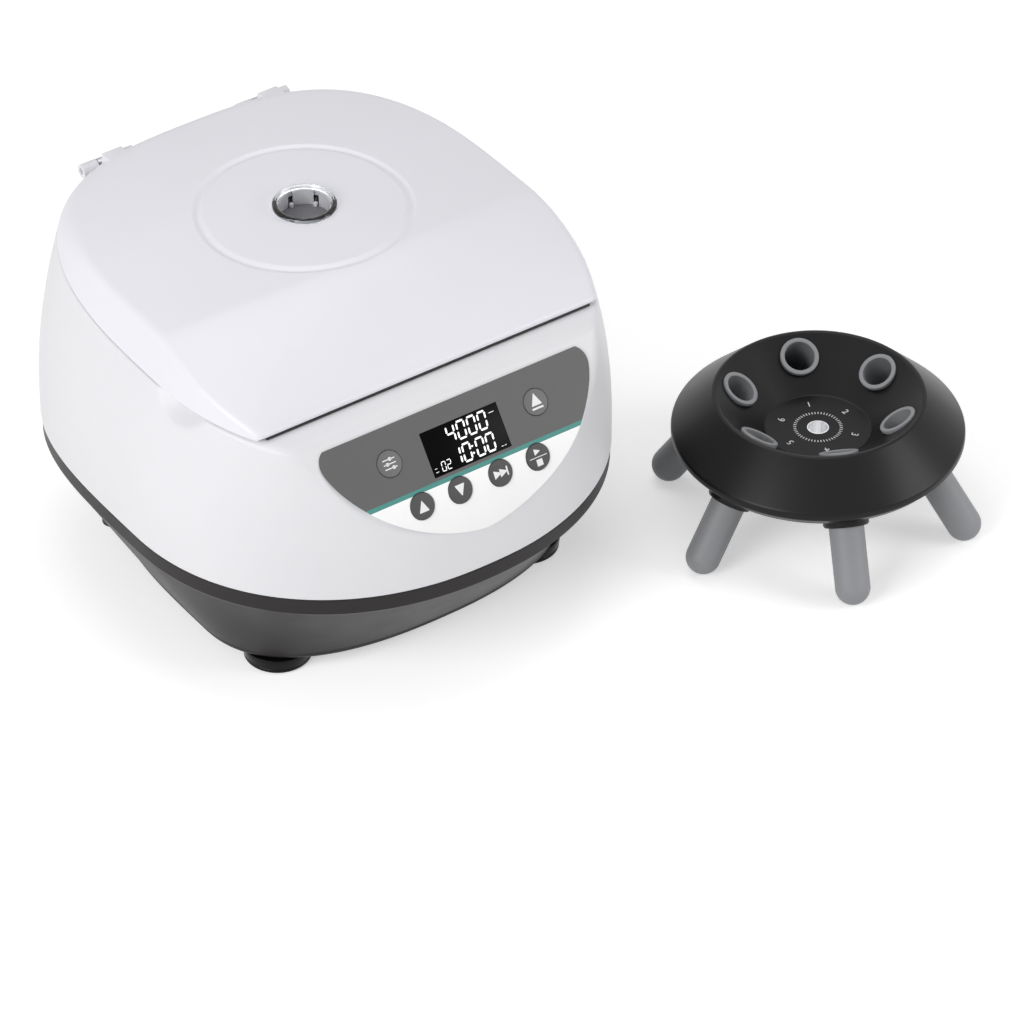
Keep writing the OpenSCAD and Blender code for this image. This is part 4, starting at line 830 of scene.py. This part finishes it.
def make_housing():
    turn = directions()
    start = (98.0, 97.0)
    edge_r = COLLAR_R + 1
    deck = start[1] + crossing(housing_field, turn, edge_r, start[1], np.full_like(turn, math.pi / 2))
    foot_r = level_radius(housing_field, turn, SEAM_Z, 100.0)
    first = np.arctan2(deck - start[1], edge_r - start[0])
    last = np.arctan2(SEAM_Z - start[1], foot_r - start[0])
    outer = contour(housing_field, turn, start, first, last, 112, 5.0)

    def cavity(x, y, z):
        rear = y - CAVITY_REAR - np.clip(np.abs(x) - 76, 0, 30)
        return smooth_max(housing_field(x, y, z) + WALL, rear, 1.5)

    wall_r = COLLAR_R + COLLAR_WALL
    under = start[1] + crossing(cavity, turn, wall_r + 0.5, start[1], np.full_like(turn, math.pi / 2))
    inner_foot = level_radius(cavity, turn, SEAM_Z + 0.01, 100.0)
    first = np.arctan2(SEAM_Z + 0.01 - start[1], inner_foot - start[0])
    last = np.arctan2(under - start[1], wall_r + 0.5 - start[0])
    inner = contour(cavity, turn, start, first, last, 30, 3.0)
    top = outer[:, 0, 1]
    collar = as_rows((wall_r, inner[:, -1, 1]), (wall_r, COLLAR_FOOT + 0.2), (wall_r - 0.2, COLLAR_FOOT),
                     (COLLAR_R + 0.3, COLLAR_FOOT), (COLLAR_R, COLLAR_FOOT + 0.3), (COLLAR_R, top - 1),
                     (COLLAR_R + 0.13, top - 0.5), (COLLAR_R + 0.5, top - 0.13))
    shell = spun("housing_shell", np.concatenate([outer, inner, collar], 1), turn)

    upper = [block("slot_tool", (-SLOT_HALF, SLOT_Y[0], 160), (SLOT_HALF, SLOT_Y[1], 200), 1.0),
             block("recess_tool", (-RECESS_HALF, RECESS_Y, RECESS_Z[0]),
                   (RECESS_HALF, PAST_REAR, RECESS_Z[1]))]
    upper += hinge_tools(0.3, HINGE_Y - KNUCKLE_R, 173.2, 240) + panel_tools(0.5)
    carve(shell, join("upper_tools", upper))
    to_rear = Matrix.Translation((FUSE_X, FUSE_Y, FUSE_Z)) @ Matrix.Rotation(-math.pi / 2, 4, "X")
    rear = [block("socket_tool", (x[0], REAR_CUT_Y[0], z[0]), (x[1], REAR_CUT_Y[1], z[1]))
            for x, z in ((INLET_X, INLET_Z), (ROCKER_X, ROCKER_Z))]
    rear.append(rod("fuse_tool", FUSE_R, -30, 0, to_rear))
    carve(shell, join("rear_tools", rear))
    return put(shell, "machine", "housing_white", WHITE, "upper_housing")


def make_base():
    turn = directions()

    def ring(z, inset, share):
        """Plan at a height: the body's at share 0, the smaller foot plan at share 1."""
        r = body_radius(turn, np.full_like(turn, z), inset + BAND_STEP)
        top = np.stack([r * np.cos(turn), PLAN_Y + r * np.sin(turn)], -1)
        q = plan_radius(turn, BASE_HALF - inset, BASE_FRONT - inset, BASE_REAR - inset, BASE_FRONT_N,
                        BASE_REAR_N)
        low = np.stack([q * np.cos(turn), FOOT_PLAN_Y + q * np.sin(turn)], -1)
        flat = top + (low - top) * share
        return np.column_stack([flat, np.full(len(turn), z)])

    def shrink(points, share, z):
        centre = np.array((0, PLAN_Y))
        return np.column_stack([centre + (points[:, :2] - centre) * share, np.full(len(points), z)])

    low_z = FOOT_H + BASE_EDGE
    rows = []
    flat = ring(FOOT_H, BASE_EDGE, 1)
    rows += [shrink(flat, s, FOOT_H) for s in (0, 0.25, 0.5, 0.75, 0.9)]
    for k in range(9):
        a = math.pi / 2 * k / 8
        rows.append(ring(FOOT_H + BASE_EDGE * (1 - math.cos(a)), BASE_EDGE * (1 - math.sin(a)), 1))
    rise = BAND_Z - 0.8 - low_z
    rows += [ring(low_z + rise * k / 26, 0, 1 - (rise * k / 26) / (BAND_Z - low_z)) for k in range(1, 27)]
    rows += [ring(BAND_Z - 0.35, -0.1, 0.004), ring(BAND_Z, -0.25, 0), ring(BAND_Z + 0.5, -0.3, 0)]
    rows += [ring(BAND_Z + 0.5 + k * 1.5, -0.3 - 0.03 * k, 0) for k in range(1, 6)]
    rows += [ring(SEAM_Z - 1.2, -0.5, 0), ring(SEAM_Z - 0.5, -0.35, 0), ring(SEAM_Z - 0.1, 0.1, 0),
             ring(SEAM_Z, 0.6, 0), ring(SEAM_Z, WALL - 0.4, 0), ring(BAND_Z, WALL, 0)]
    rows += [ring(BAND_Z - (BAND_Z - low_z - WALL) * k / 8, WALL, k / 8) for k in range(1, 9)]
    floor = ring(FOOT_H + WALL, WALL + BASE_EDGE, 1)
    rows += [floor] + [shrink(floor, s, FOOT_H + WALL) for s in (0.7, 0.35, 0)]
    shell = mesh_from("base_tub_shell", np.concatenate(rows), grid_faces(len(rows), len(turn), False))
    spots = [Matrix.Translation((x, y, 0)) for x in (-COLUMN_X, COLUMN_X) for y in COLUMN_YS]
    columns = [rod("column", COLUMN_R, FOOT_H + 1, SEAM_Z - 1, spot) for spot in spots]
    carve(shell, join("columns", columns), "UNION")
    well = [(0, 0), (5.6, 0), (4.8, 12), (4.8, 72), (2.05, 72), (2.05, 81), (0, 81)]
    wells = [lathe("well", well, 48, spot) for spot in spots]
    slot = plate("vent", rounded([(-2, -30), (2, -30), (2, 30), (-2, 30)], 1.9, 6, True), 0, 20)
    wells.append(repeat("vents", ROW, slot, 9, 9.0, (-36, 0, 0)))
    carve(shell, join("wells", wells))
    return put(shell, "machine", "base_grey", BASE_GREY, "base_tub")


def make_feet():
    def outline(r):
        return rounded([(5, 0), (r - 2.5, 0, 1.5), (r - 0.8, 1.6, 1), (r - 0.7, 3.2), (r - 1.1, 3.6),
                        (r - 0.6, 4), (r - 0.1, 8), (r, FOOT_H), (2.2, FOOT_H), (2.2, 4), (5, 4)], 0.4)

    feet = [lathe("foot", outline(r), 96, Matrix.Translation((x, y, 0)))
            for x in (-FOOT_X, FOOT_X) for y, r in zip(FOOT_YS, (FOOT_R, REAR_FOOT_R))]
    return put(join("rubber_feet", feet), "machine", "rubber_black", FOOT_BLACK, "base_feet")


# Lid

def make_lid():
    turn = directions()
    start = (78.0, 145.0)
    edge_r = HOLE_R + 0.4

    def walls(field, inner_r, lift):
        """Rim of a wall on the line between lid and housing, and the angles where it ends."""
        rim_r = np.full_like(turn, 140.0)
        for _ in range(6):
            rim_y = rim_r * np.sin(turn)
            rim_z = parting_z(rim_y) + LID_GAP + lift * (1 + 2 * np.clip(-120.4 - rim_y, 0, 1))
            rim_r = level_radius(field, turn, rim_z, 60.0)
        top = start[1] + crossing(field, turn, inner_r, start[1], np.full_like(turn, math.pi / 2))
        return (rim_r, rim_z, np.arctan2(top - start[1], inner_r - start[0]),
                np.arctan2(rim_z - start[1], rim_r - start[0]))

    rim_r, rim_z, first, last = walls(lid_field, edge_r, 0.6)
    outer = contour(lid_field, turn, start, first, last, 150, 6.0)

    def cavity(x, y, z):
        return lid_field(x, y, z) + WALL

    first, last = walls(cavity, edge_r + 1, 0.0)[2:]
    inner = contour(cavity, turn, start, last, first, 40, 3.0)
    turn_in = [(rim_r - 0.6 * (1 - math.cos(a)), rim_z - 0.6 * math.sin(a)) for a in (0.52, 1.05, 1.57)]
    end_z = outer[:, 0, 1]
    hole = as_rows((HOLE_R, inner[:, -1, 1]), (HOLE_R, end_z - 0.4), (HOLE_R + 0.12, end_z - 0.12))
    shell = spun("lid_cover", np.concatenate([outer, as_rows(*turn_in), inner, hole], 1), turn)

    pads = [block("hook_pad", HOOK_PAD_LOW, HOOK_PAD_HIGH, 0.4)]
    for s in (-1, 1):
        pads.append(block("arm_pad", (s * HINGE_X - ARM_W / 2, HINGE_Y - ARM_REACH - 1, HINGE_Z + 2.05),
                          (s * HINGE_X + ARM_W / 2, HINGE_Y - 5, HINGE_Z + 11), 0.3))
    carve(shell, join("pads", pads), "UNION")
    pockets = hinge_tools(0.6, HINGE_Y - KNUCKLE_R - 2, 180, HINGE_Z + KNUCKLE_R + 0.6)
    carve(shell, join("knuckle_tools", pockets))
    put(shell, "lid", "housing_white", LID_WHITE, "lid_shell")
    # Black strip in the gap under the lid's front edge: painted shade, put where the machine only has shadow
    low = FRONT_LINE_Z + 0.25
    shade_strip = block("lid_edge_strip", (-SHADE_STRIP_HALF, LID_FRONT_Y + 0.1, low),
                  (SHADE_STRIP_HALF, LID_FRONT_Y + 1.9, low + SHADE_STRIP_H), 0.2)
    return put(shade_strip, "lid", "rubber_black", RUBBER)


# Front panel

def make_fascia():
    """Thin film that follows panel and roll, cut to a shield seen from the front."""
    lean = [ROLL_END + (PANEL_TILT - ROLL_END) * k / 24 for k in range(25)]

    def profile(rise):
        line = [tuple(roll_centre + (ROLL_R + rise) * np.array((-math.cos(a), math.sin(a)))) for a in lean]
        line.append(tuple(np.array(line[-1]) + 40 * panel_up))
        return line

    outside, inside = profile(FASCIA_T), profile(0.02)
    outline = [(y, z) for y, z in outside] + [(y, z) for y, z in reversed(inside)]
    turned = Matrix(((0, 0, 1, 0), (1, 0, 0, 0), (0, 1, 0, 0), (0, 0, 0, 1)))
    sheet = plate("fascia_film", outline, -100, 100, turned, 40)
    drop = FASCIA_WIDE - FASCIA_LOW
    corner = FASCIA_TOP - FASCIA_WIDE
    right = [(FASCIA_HALF - corner * (1 - math.cos(a)), FASCIA_WIDE + corner * math.sin(a))
             for a in np.linspace(math.pi / 2, 0, 13)]
    for k in range(1, 61):
        d = math.sin(math.pi / 2 * k / 60)
        right.append((FASCIA_HALF * (1 - d ** FASCIA_N) ** (1 / FASCIA_N), FASCIA_WIDE - drop * d))
    shield = right + [(-x, z) for x, z in reversed(right[:-1])]
    upright = Matrix(((1, 0, 0, 0), (0, 0, -1, -100), (0, 1, 0, 0), (0, 0, 0, 1)))
    carve(sheet, plate("shield", shield, 0, 100, upright), "INTERSECT", 40)
    carve(sheet, join("fascia_tools", panel_tools()), angle=40)
    edge = sheet.modifiers.new("edge", "BEVEL")
    edge.width = 0.18 * MM
    edge.segments = 2
    edge.limit_method = "ANGLE"
    edge.angle_limit = math.radians(55)
    settle(sheet, 40)
    even = sheet.modifiers.new("even", "WEIGHTED_NORMAL")
    even.keep_sharp = True
    settle(sheet)
    return put(sheet, "machine", "panel_film", FILM, "control_fascia")


def key_cap(name, place):
    outline = rounded([(0, -1.2), (KEY_R, -1.2, 0.1), (KEY_R, KEY_TOP, 0.55), (0, KEY_TOP)], 0)
    cap = lathe(name, outline, 96, place)
    stem = lathe(name + "_stem", rounded([(0, -5.9), (2, -5.9), (2, -1.1), (0, -1.1)], 0.2), 32, place)
    return join(name, [cap, stem])


def triangle(size, turn=0.0, centre=(0, 0)):
    """Triangle with softened corners; turn 0 points up."""
    corners = [(size * math.sin(turn + a), size * math.cos(turn + a)) for a in (0, 2.25, -2.25)]
    return rounded([(centre[0] - x, centre[1] + y) for x, y in corners], 0.3, 3, True)


def bar(x0, y0, x1, y1, r=0.25):
    return rounded([(x0, y0), (x1, y0), (x1, y1), (x0, y1)], r, 3, True)


def icon(name, shapes, place):
    """White raised icon on a key, from flat outlines."""
    parts = [plate(name, s, KEY_TOP - 0.1, KEY_TOP + 0.05, place) for s in shapes]
    return join(name, parts)


def make_keys():
    slider = [bar(-3.9, y - 0.3, 3.9, y + 0.3, 0.25) for y in (-2.5, 0, 2.5)]
    slider += [bar(x - 1, y - 1, x + 1, y + 1, 0.9) for x, y in ((1.7, -2.5), (-1.5, 0), (0.8, 2.5))]
    lift = [triangle(4.3, centre=(0, 0.9)), bar(-3.6, -4.0, 3.6, -2.9)]
    burst = [triangle(3.1, -math.pi / 2, (x, 0)) for x in (-2.5, 1.3)]
    burst.append(bar(3.7, -2.6, 4.6, 2.6))
    go = [triangle(2.4, -math.pi / 2, (-0.3, 3.1)), bar(-5.6, -0.2, 5.6, 0.2, 0.1)]
    go.append(bar(-1.9, -5.0, 1.9, -1.3))
    icons = {"set": slider, "open": lift, "up": [triangle(4.1, centre=(0, -0.7))],
             "down": [triangle(4.1, math.pi, (0, 0.7))], "pulse": burst, "start": go}
    for place, (name, shapes) in zip(key_places(), icons.items()):
        finish = KEY_GREY if name in ("set", "open") else ROW_GREY
        cap = key_cap(f"key_{name}_cap_piece", place)
        put(cap, f"key_{name}_cap", "key_grey", finish, f"key_{name}")
        put(icon(f"key_{name}_icon", shapes, place), f"key_{name}_cap", "key_grey", ICON)


SEGMENTS = {"0": "abcdef", "1": "bc", "2": "abged", "4": "fgbc"}


def digit_shapes(text, x, y, width, height, stroke, gap):
    """Seven-segment digits as outlines, leaning a little to the right."""
    shapes = []
    w, h, t, half = width, height / 2, stroke, stroke / 2

    def lying(cy):
        return [(half, cy), (t, cy + half), (w - t, cy + half), (w - half, cy), (w - t, cy - half),
                (t, cy - half)]

    def standing(cx, low):
        return [(cx, low + half), (cx + half, low + t), (cx + half, low + h - t), (cx, low + h - half),
                (cx - half, low + h - t), (cx - half, low + t)]

    forms = {"a": lying(2 * h), "g": lying(h), "d": lying(0), "b": standing(w - half, h),
             "c": standing(w - half, 0), "f": standing(half, h), "e": standing(half, 0)}
    for letter in text:
        if letter == ":":
            for cy in (h * 0.6, h * 1.4):
                dot = bar(x - half, y + cy - half, x + half, y + cy + half, t * 0.3)
                shapes.append([(a + 0.1 * (b - y), b) for a, b in dot])
            x += t + gap
            continue
        for segment in SEGMENTS[letter]:
            shapes.append([(x + a + 0.1 * b, y + b) for a, b in forms[segment]])
        x += w + gap
    return shapes


def make_display():
    place = on_panel()
    low, high = (-DISPLAY_W / 2 + 0.1, -DISPLAY_H / 2 + 0.1), (DISPLAY_W / 2 - 0.1, DISPLAY_H / 2 - 0.1)
    lens = block("display_glass", (*low, FASCIA_T - 1.5), (*high, FASCIA_T), 0.12, 2, place)
    put(lens, "machine", "display_black", LENS_BLACK, "display_lens")
    shapes = digit_shapes("4000", -10.4, 1.6, 5.7, 9.4, 1.05, 1.2)
    shapes += digit_shapes("10:00", -11.5, -11.0, 5.7, 9.4, 1.05, 0.95)
    shapes += digit_shapes("02", -19.4, -11.0, 2.8, 5.0, 0.45, 0.7)
    dashes = ((-23.6, -10.4, -21.6, -10.15), (-23.6, -8.4, -22.0, -8.15), (18.8, 8.5, 22.0, 8.8),
              (19.2, -11.0, 20.6, -10.75), (21.2, -11.0, 22.6, -10.75))
    shapes += [bar(*dash, 0.1) for dash in dashes]
    parts = [plate("segment", s, FASCIA_T - 0.02, FASCIA_T + 0.03, place) for s in shapes]
    put(join("display_digits", parts), "machine", "display_black", INK)


# Sight glass with its pane, shield, clips and tube

def make_window():
    seat = LID_TOP_Z + 0.3
    low = LID_TOP_Z - GLASS_DEPTH
    face = low + 2
    ring = lathe("sight_ring", rounded([
        (GLASS_BORE, low), (GLASS_R, low), (GLASS_R, seat), (GLASS_LIP_R, seat, 0.2),
        (GLASS_LIP_R, seat + 2.2, 1.4), (16.6, seat + 3, 0.9), (15.3, seat + 2.6, 0.6),
        (GLASS_BORE, seat + 1)], 0.15), 160)
    put(ring, "lid", "clear_plastic", CLEAR, "lid_window")
    pane = lathe("sight_pane", rounded([(0, low), (14.97, low), (14.97, face), (0, face)], 0.2), 160)
    put(pane, "lid", "clear_plastic", SMOKED)
    arc = math.radians(47)
    turns = np.linspace(-arc / 2, arc / 2, 13)
    sector = [(14.9 * math.cos(a), 14.9 * math.sin(a)) for a in turns]
    sector += [(14.2 * math.cos(a), 14.2 * math.sin(a)) for a in turns[::-1]]
    shield = plate("shield", sector, face + 0.05, seat + 0.6)
    put(repeat("sight_shield", RING, shield, 6, 0, material=SATIN_GREY), "lid", "clear_plastic", SATIN_GREY)
    clip = block("clip", (-1.9, -1.1, face + 0.05), (0.2, 1.1, face + 2.6), 0.3)
    clips = repeat("sight_clips", RING, clip, 6, 14.4, first=math.radians(30), material=INNER_WHITE)
    put(clips, "lid", "housing_white", INNER_WHITE)
    wall = [(GLASS_BORE, TUBE_FOOT), (GLASS_R, TUBE_FOOT), (GLASS_R, low), (GLASS_BORE, low)]
    tube = lathe("sight_tube_wall", rounded(wall, 0.2), 160)
    rib = block("rib", (-0.35, -0.5, TUBE_FOOT + 0.4), (0.35, 0.5, low - 0.4), 0.15)
    ribs = repeat("sight_tube_ribs", RING, rib, 24, 14.9)
    put(join("sight_tube_liner", [tube, ribs]), "lid", "housing_white", INNER_WHITE, "sight_tube")


# Rotor

def make_rotor():
    place = at_rotor()
    outline = rounded([
        (0, DISH_FOOT), (0, 0), (30, 0, 2.5), (57.9, 23.7, 0.8), (59.4, 24, 0.6), (60.6, 23.6, 0.8),
        (DISH_RIM_R, 1.6, 3.2), (DISH_RIM_R, -2.4, 2.2), (79, -7.2, 1.2), (78.5, DISH_FOOT, 0.4),
        (73.5, DISH_FOOT, 0.8), (72.5, -2, 2), (60, 15, 2), (56, 15, 2), (33, DISH_FOOT, 1.5)], 0.4, 6)
    dish = lathe("rotor_bowl", outline, 288, place)
    bore = [(0, -9), (SEAT_R, -9), (SEAT_R, FLANGE_T), (BORE_R, FLANGE_T), (BORE_R, 62), (0, 62)]
    carve(dish, join("bores", [lathe("bore", bore, 90, at_sleeve(k)) for k in range(6)]))
    collar = [(10.12, 3.1), (11.6, 3.1), (11.6, 10.4), (13, 11.6), (13, 41), (12.4, 42), (10.12, 42)]
    collars = join("collars", [lathe("collar", collar, 90, at_sleeve(k)) for k in range(6)])
    carve(collars, rod("limit", DISH_RIM_R - 0.1, -26, 23.4, place, 160), "INTERSECT")
    carve(dish, collars, "UNION")
    carve(dish, rod("centre", HUB_BORE, -20, 20, place))
    bush = rounded([(5.6, DISH_FOOT), (HUB_BORE, DISH_FOOT), (HUB_BORE, 0), (5.6, 0)], 0.15)
    put(lathe("rotor_bush", bush, 96, place), "rotor", "shaft_steel", BRIGHT)
    put(dish, "rotor", "rotor_black", ROTOR_BLACK, "rotor_dish")

    outline = rounded([(SLEEVE_BORE, 0.4), (9.1, 0, 0.3), (FLANGE_R, 0, 0.7), (FLANGE_R, FLANGE_T, 0.3),
                       (SLEEVE_R, FLANGE_T, 0.2), (SLEEVE_R, 70)], 0)
    tip = SLEEVE_RUN - SLEEVE_SHY
    outline += [(SLEEVE_R * math.cos(a), tip + SLEEVE_R * math.sin(a))
                for a in np.linspace(0, math.pi / 2, 14)]
    outline += [(0, SLEEVE_RUN - 1), (7, SLEEVE_RUN - 1), (7, 73), (SLEEVE_BORE, 73)]
    for number, k in SLEEVE_PLACE.items():
        sleeve = lathe(f"tube_sleeve_{number}_piece", outline, 96, at_sleeve(k))
        put(sleeve, "rotor", "sleeve_grey", SLEEVE, f"tube_sleeve_{number}")


def number_mesh(name, text, size, place):
    """Plain figure as a thin raised mesh."""
    curve = bpy.data.curves.new(name, "FONT")
    curve.body = text
    curve.size = size
    curve.align_x = "CENTER"
    curve.align_y = "CENTER"
    curve.extrude = 0.06
    writer = add_object(name + "_text", curve)
    graph = bpy.context.evaluated_depsgraph_get()
    mesh = bpy.data.meshes.new_from_object(writer.evaluated_get(graph))
    bpy.data.objects.remove(writer)
    mesh.transform(Matrix.Scale(MM, 4) @ place)
    return add_object(name, mesh)


def make_rotor_marks():
    place = at_rotor()
    parts = []
    for number, k in SLEEVE_PLACE.items():
        way = Matrix.Rotation(SLEEVE_START + math.radians(60) * k, 4, "Z")
        level = Matrix.Translation((NUMBER_R, 0, 0.06)) @ Matrix.Rotation(-math.pi / 2, 4, "Z")
        parts.append(number_mesh(f"place_{number}", str(number), NUMBER_SIZE, place @ way @ level))
    tick = block("tick", (-0.9, -0.26, -0.02), (0.9, 0.26, 0.06))
    ticks = repeat("ticks", RING, tick, TICK_COUNT, TICK_R, (ROTOR.x, ROTOR.y, ROTOR_FLOOR))
    put(join("rotor_marks", parts + [ticks]), "rotor", "rotor_black", MARKING)


# Finishes of the pieces that keep the shape of the solids

CARRIED = (
    (ZINC, "zinc_steel", ("foot_screws", "bowl_posts", "motor_plate", "lock_housing", "case_screws",
                          "lid_screws")),
    (SHAFT_STEEL, "shaft_steel", ("inlet_pins", "shaft_bearings", "hinge_pins", "lid_hook", "lid_arms",
                                  "motor_shaft", "drive_hub", "nut_washer", "lock_bolt")),
    (WHITE, "shaft_steel", ("hinge_brackets",)),
    (BOWL_STEEL, "bowl_steel", ("chamber_bowl",)),
    (MOTOR, "motor_aluminium", ("motor_can", "motor_armature")),
    (BLACK, "black_plastic", ("power_inlet", "switch_frame", "fuse_holder", "display_module", "power_parts",
                              "lid_switch", "rotor_nut", "rocker_switch")),
    (RUBBER, "rubber_black", ("chamber_gasket", "motor_isolators", "shaft_boot", "lid_seal", "lid_bumpers",
                              "sleeve_pads")),
    (BOARD, "board_green", ("control_board", "key_board", "power_board")),
    (BASE_GREY, "base_grey", ("rear_plate",)),
    (INNER_WHITE, "housing_white", ("lid_liner",)),
)


def dress_carried():
    for material, slot, names in CARRIED:
        for name in names:
            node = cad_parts[name]
            node.data.materials.clear()
            node.data.materials.append(material)


# Stage: floor, world, lamps and camera

def shown_only(r):
    """One where a camera, mirror or glass ray looks, zero where light is gathered."""
    path = r.add("ShaderNodeLightPath").outputs
    seen = r.math("ADD", path["Is Camera Ray"], path["Is Glossy Ray"])
    return r.math("ADD", seen, path["Is Transmission Ray"], clamp=True)


def make_stage():
    world = bpy.data.worlds.new("studio")
    bpy.context.scene.world = world
    world.use_nodes = True
    r = Recipe(world.node_tree)
    level = r.span(shown_only(r), 0, 1, WORLD_LEVEL, 1.0)
    light = r.add("ShaderNodeBackground", {"Color": (1, 1, 1, 1), "Strength": level})
    end = r.add("ShaderNodeOutputWorld")
    r.tree.links.new(light.outputs[0], end.inputs[0])

    floor_mesh = bpy.data.meshes.new("floor")
    half = 30.0
    corners = [(-half, -half, 0), (half, -half, 0), (half, half, 0), (-half, half, 0)]
    floor_mesh.from_pydata(corners, [], [(0, 1, 2, 3)])
    floor = add_object("floor", floor_mesh)
    material, r, end, place = start_material("floor_white")
    flat = r.add("ShaderNodeBsdfDiffuse", {"Color": (0.86, 0.86, 0.86, 1)})
    glow = r.math("MULTIPLY", shown_only(r), FLOOR_LIFT)
    lift = r.add("ShaderNodeEmission", {"Color": (1, 1, 1, 1), "Strength": glow})
    both = r.add("ShaderNodeAddShader", {0: flat.outputs[0], 1: lift.outputs[0]})
    r.tree.links.new(both.outputs[0], end.inputs["Surface"])
    floor_mesh.materials.append(material)


def lamp(name, place, aim, size, power):
    """Round soft lamp. Place, aim and size are in metres, power in watts."""
    data = bpy.data.lights.new(name, "AREA")
    data.shape = "DISK"
    data.size = size
    data.energy = power
    holder = add_object(name, data)
    holder.location = place
    holder.rotation_euler = (Vector(aim) - Vector(place)).to_track_quat("-Z", "Y").to_euler()


def make_lights():
    lamp("left_softbox", (-1.7, -0.5, 1.1), (0, 0, 0.12), 1.3, 23)
    lamp("top_softbox", (0.3, 0.5, 2.0), (0.05, -0.05, 0.1), 1.6, 8)
    lamp("right_fill", (1.5, -1.5, 0.9), (0.1, -0.1, 0.1), 1.2, 15)


def make_camera():
    data = bpy.data.cameras.new("photo_camera")
    data.lens = 220
    data.sensor_width = 36
    data.clip_start, data.clip_end = 0.1, 100
    holder = add_object("photo_camera", data)
    holder.location = (-1.5258, -2.3694, 2.2030)
    holder.rotation_euler = Euler((math.radians(52.0), 0, math.radians(-35.1)))
    bpy.context.scene.camera = holder


make_housing()
make_base()
make_feet()
make_lid()
make_fascia()
make_keys()
make_display()
make_window()
make_rotor()
make_rotor_marks()
dress_carried()
make_stage()
make_lights()
make_camera()
bpy.context.scene.view_settings.view_transform = "Standard"
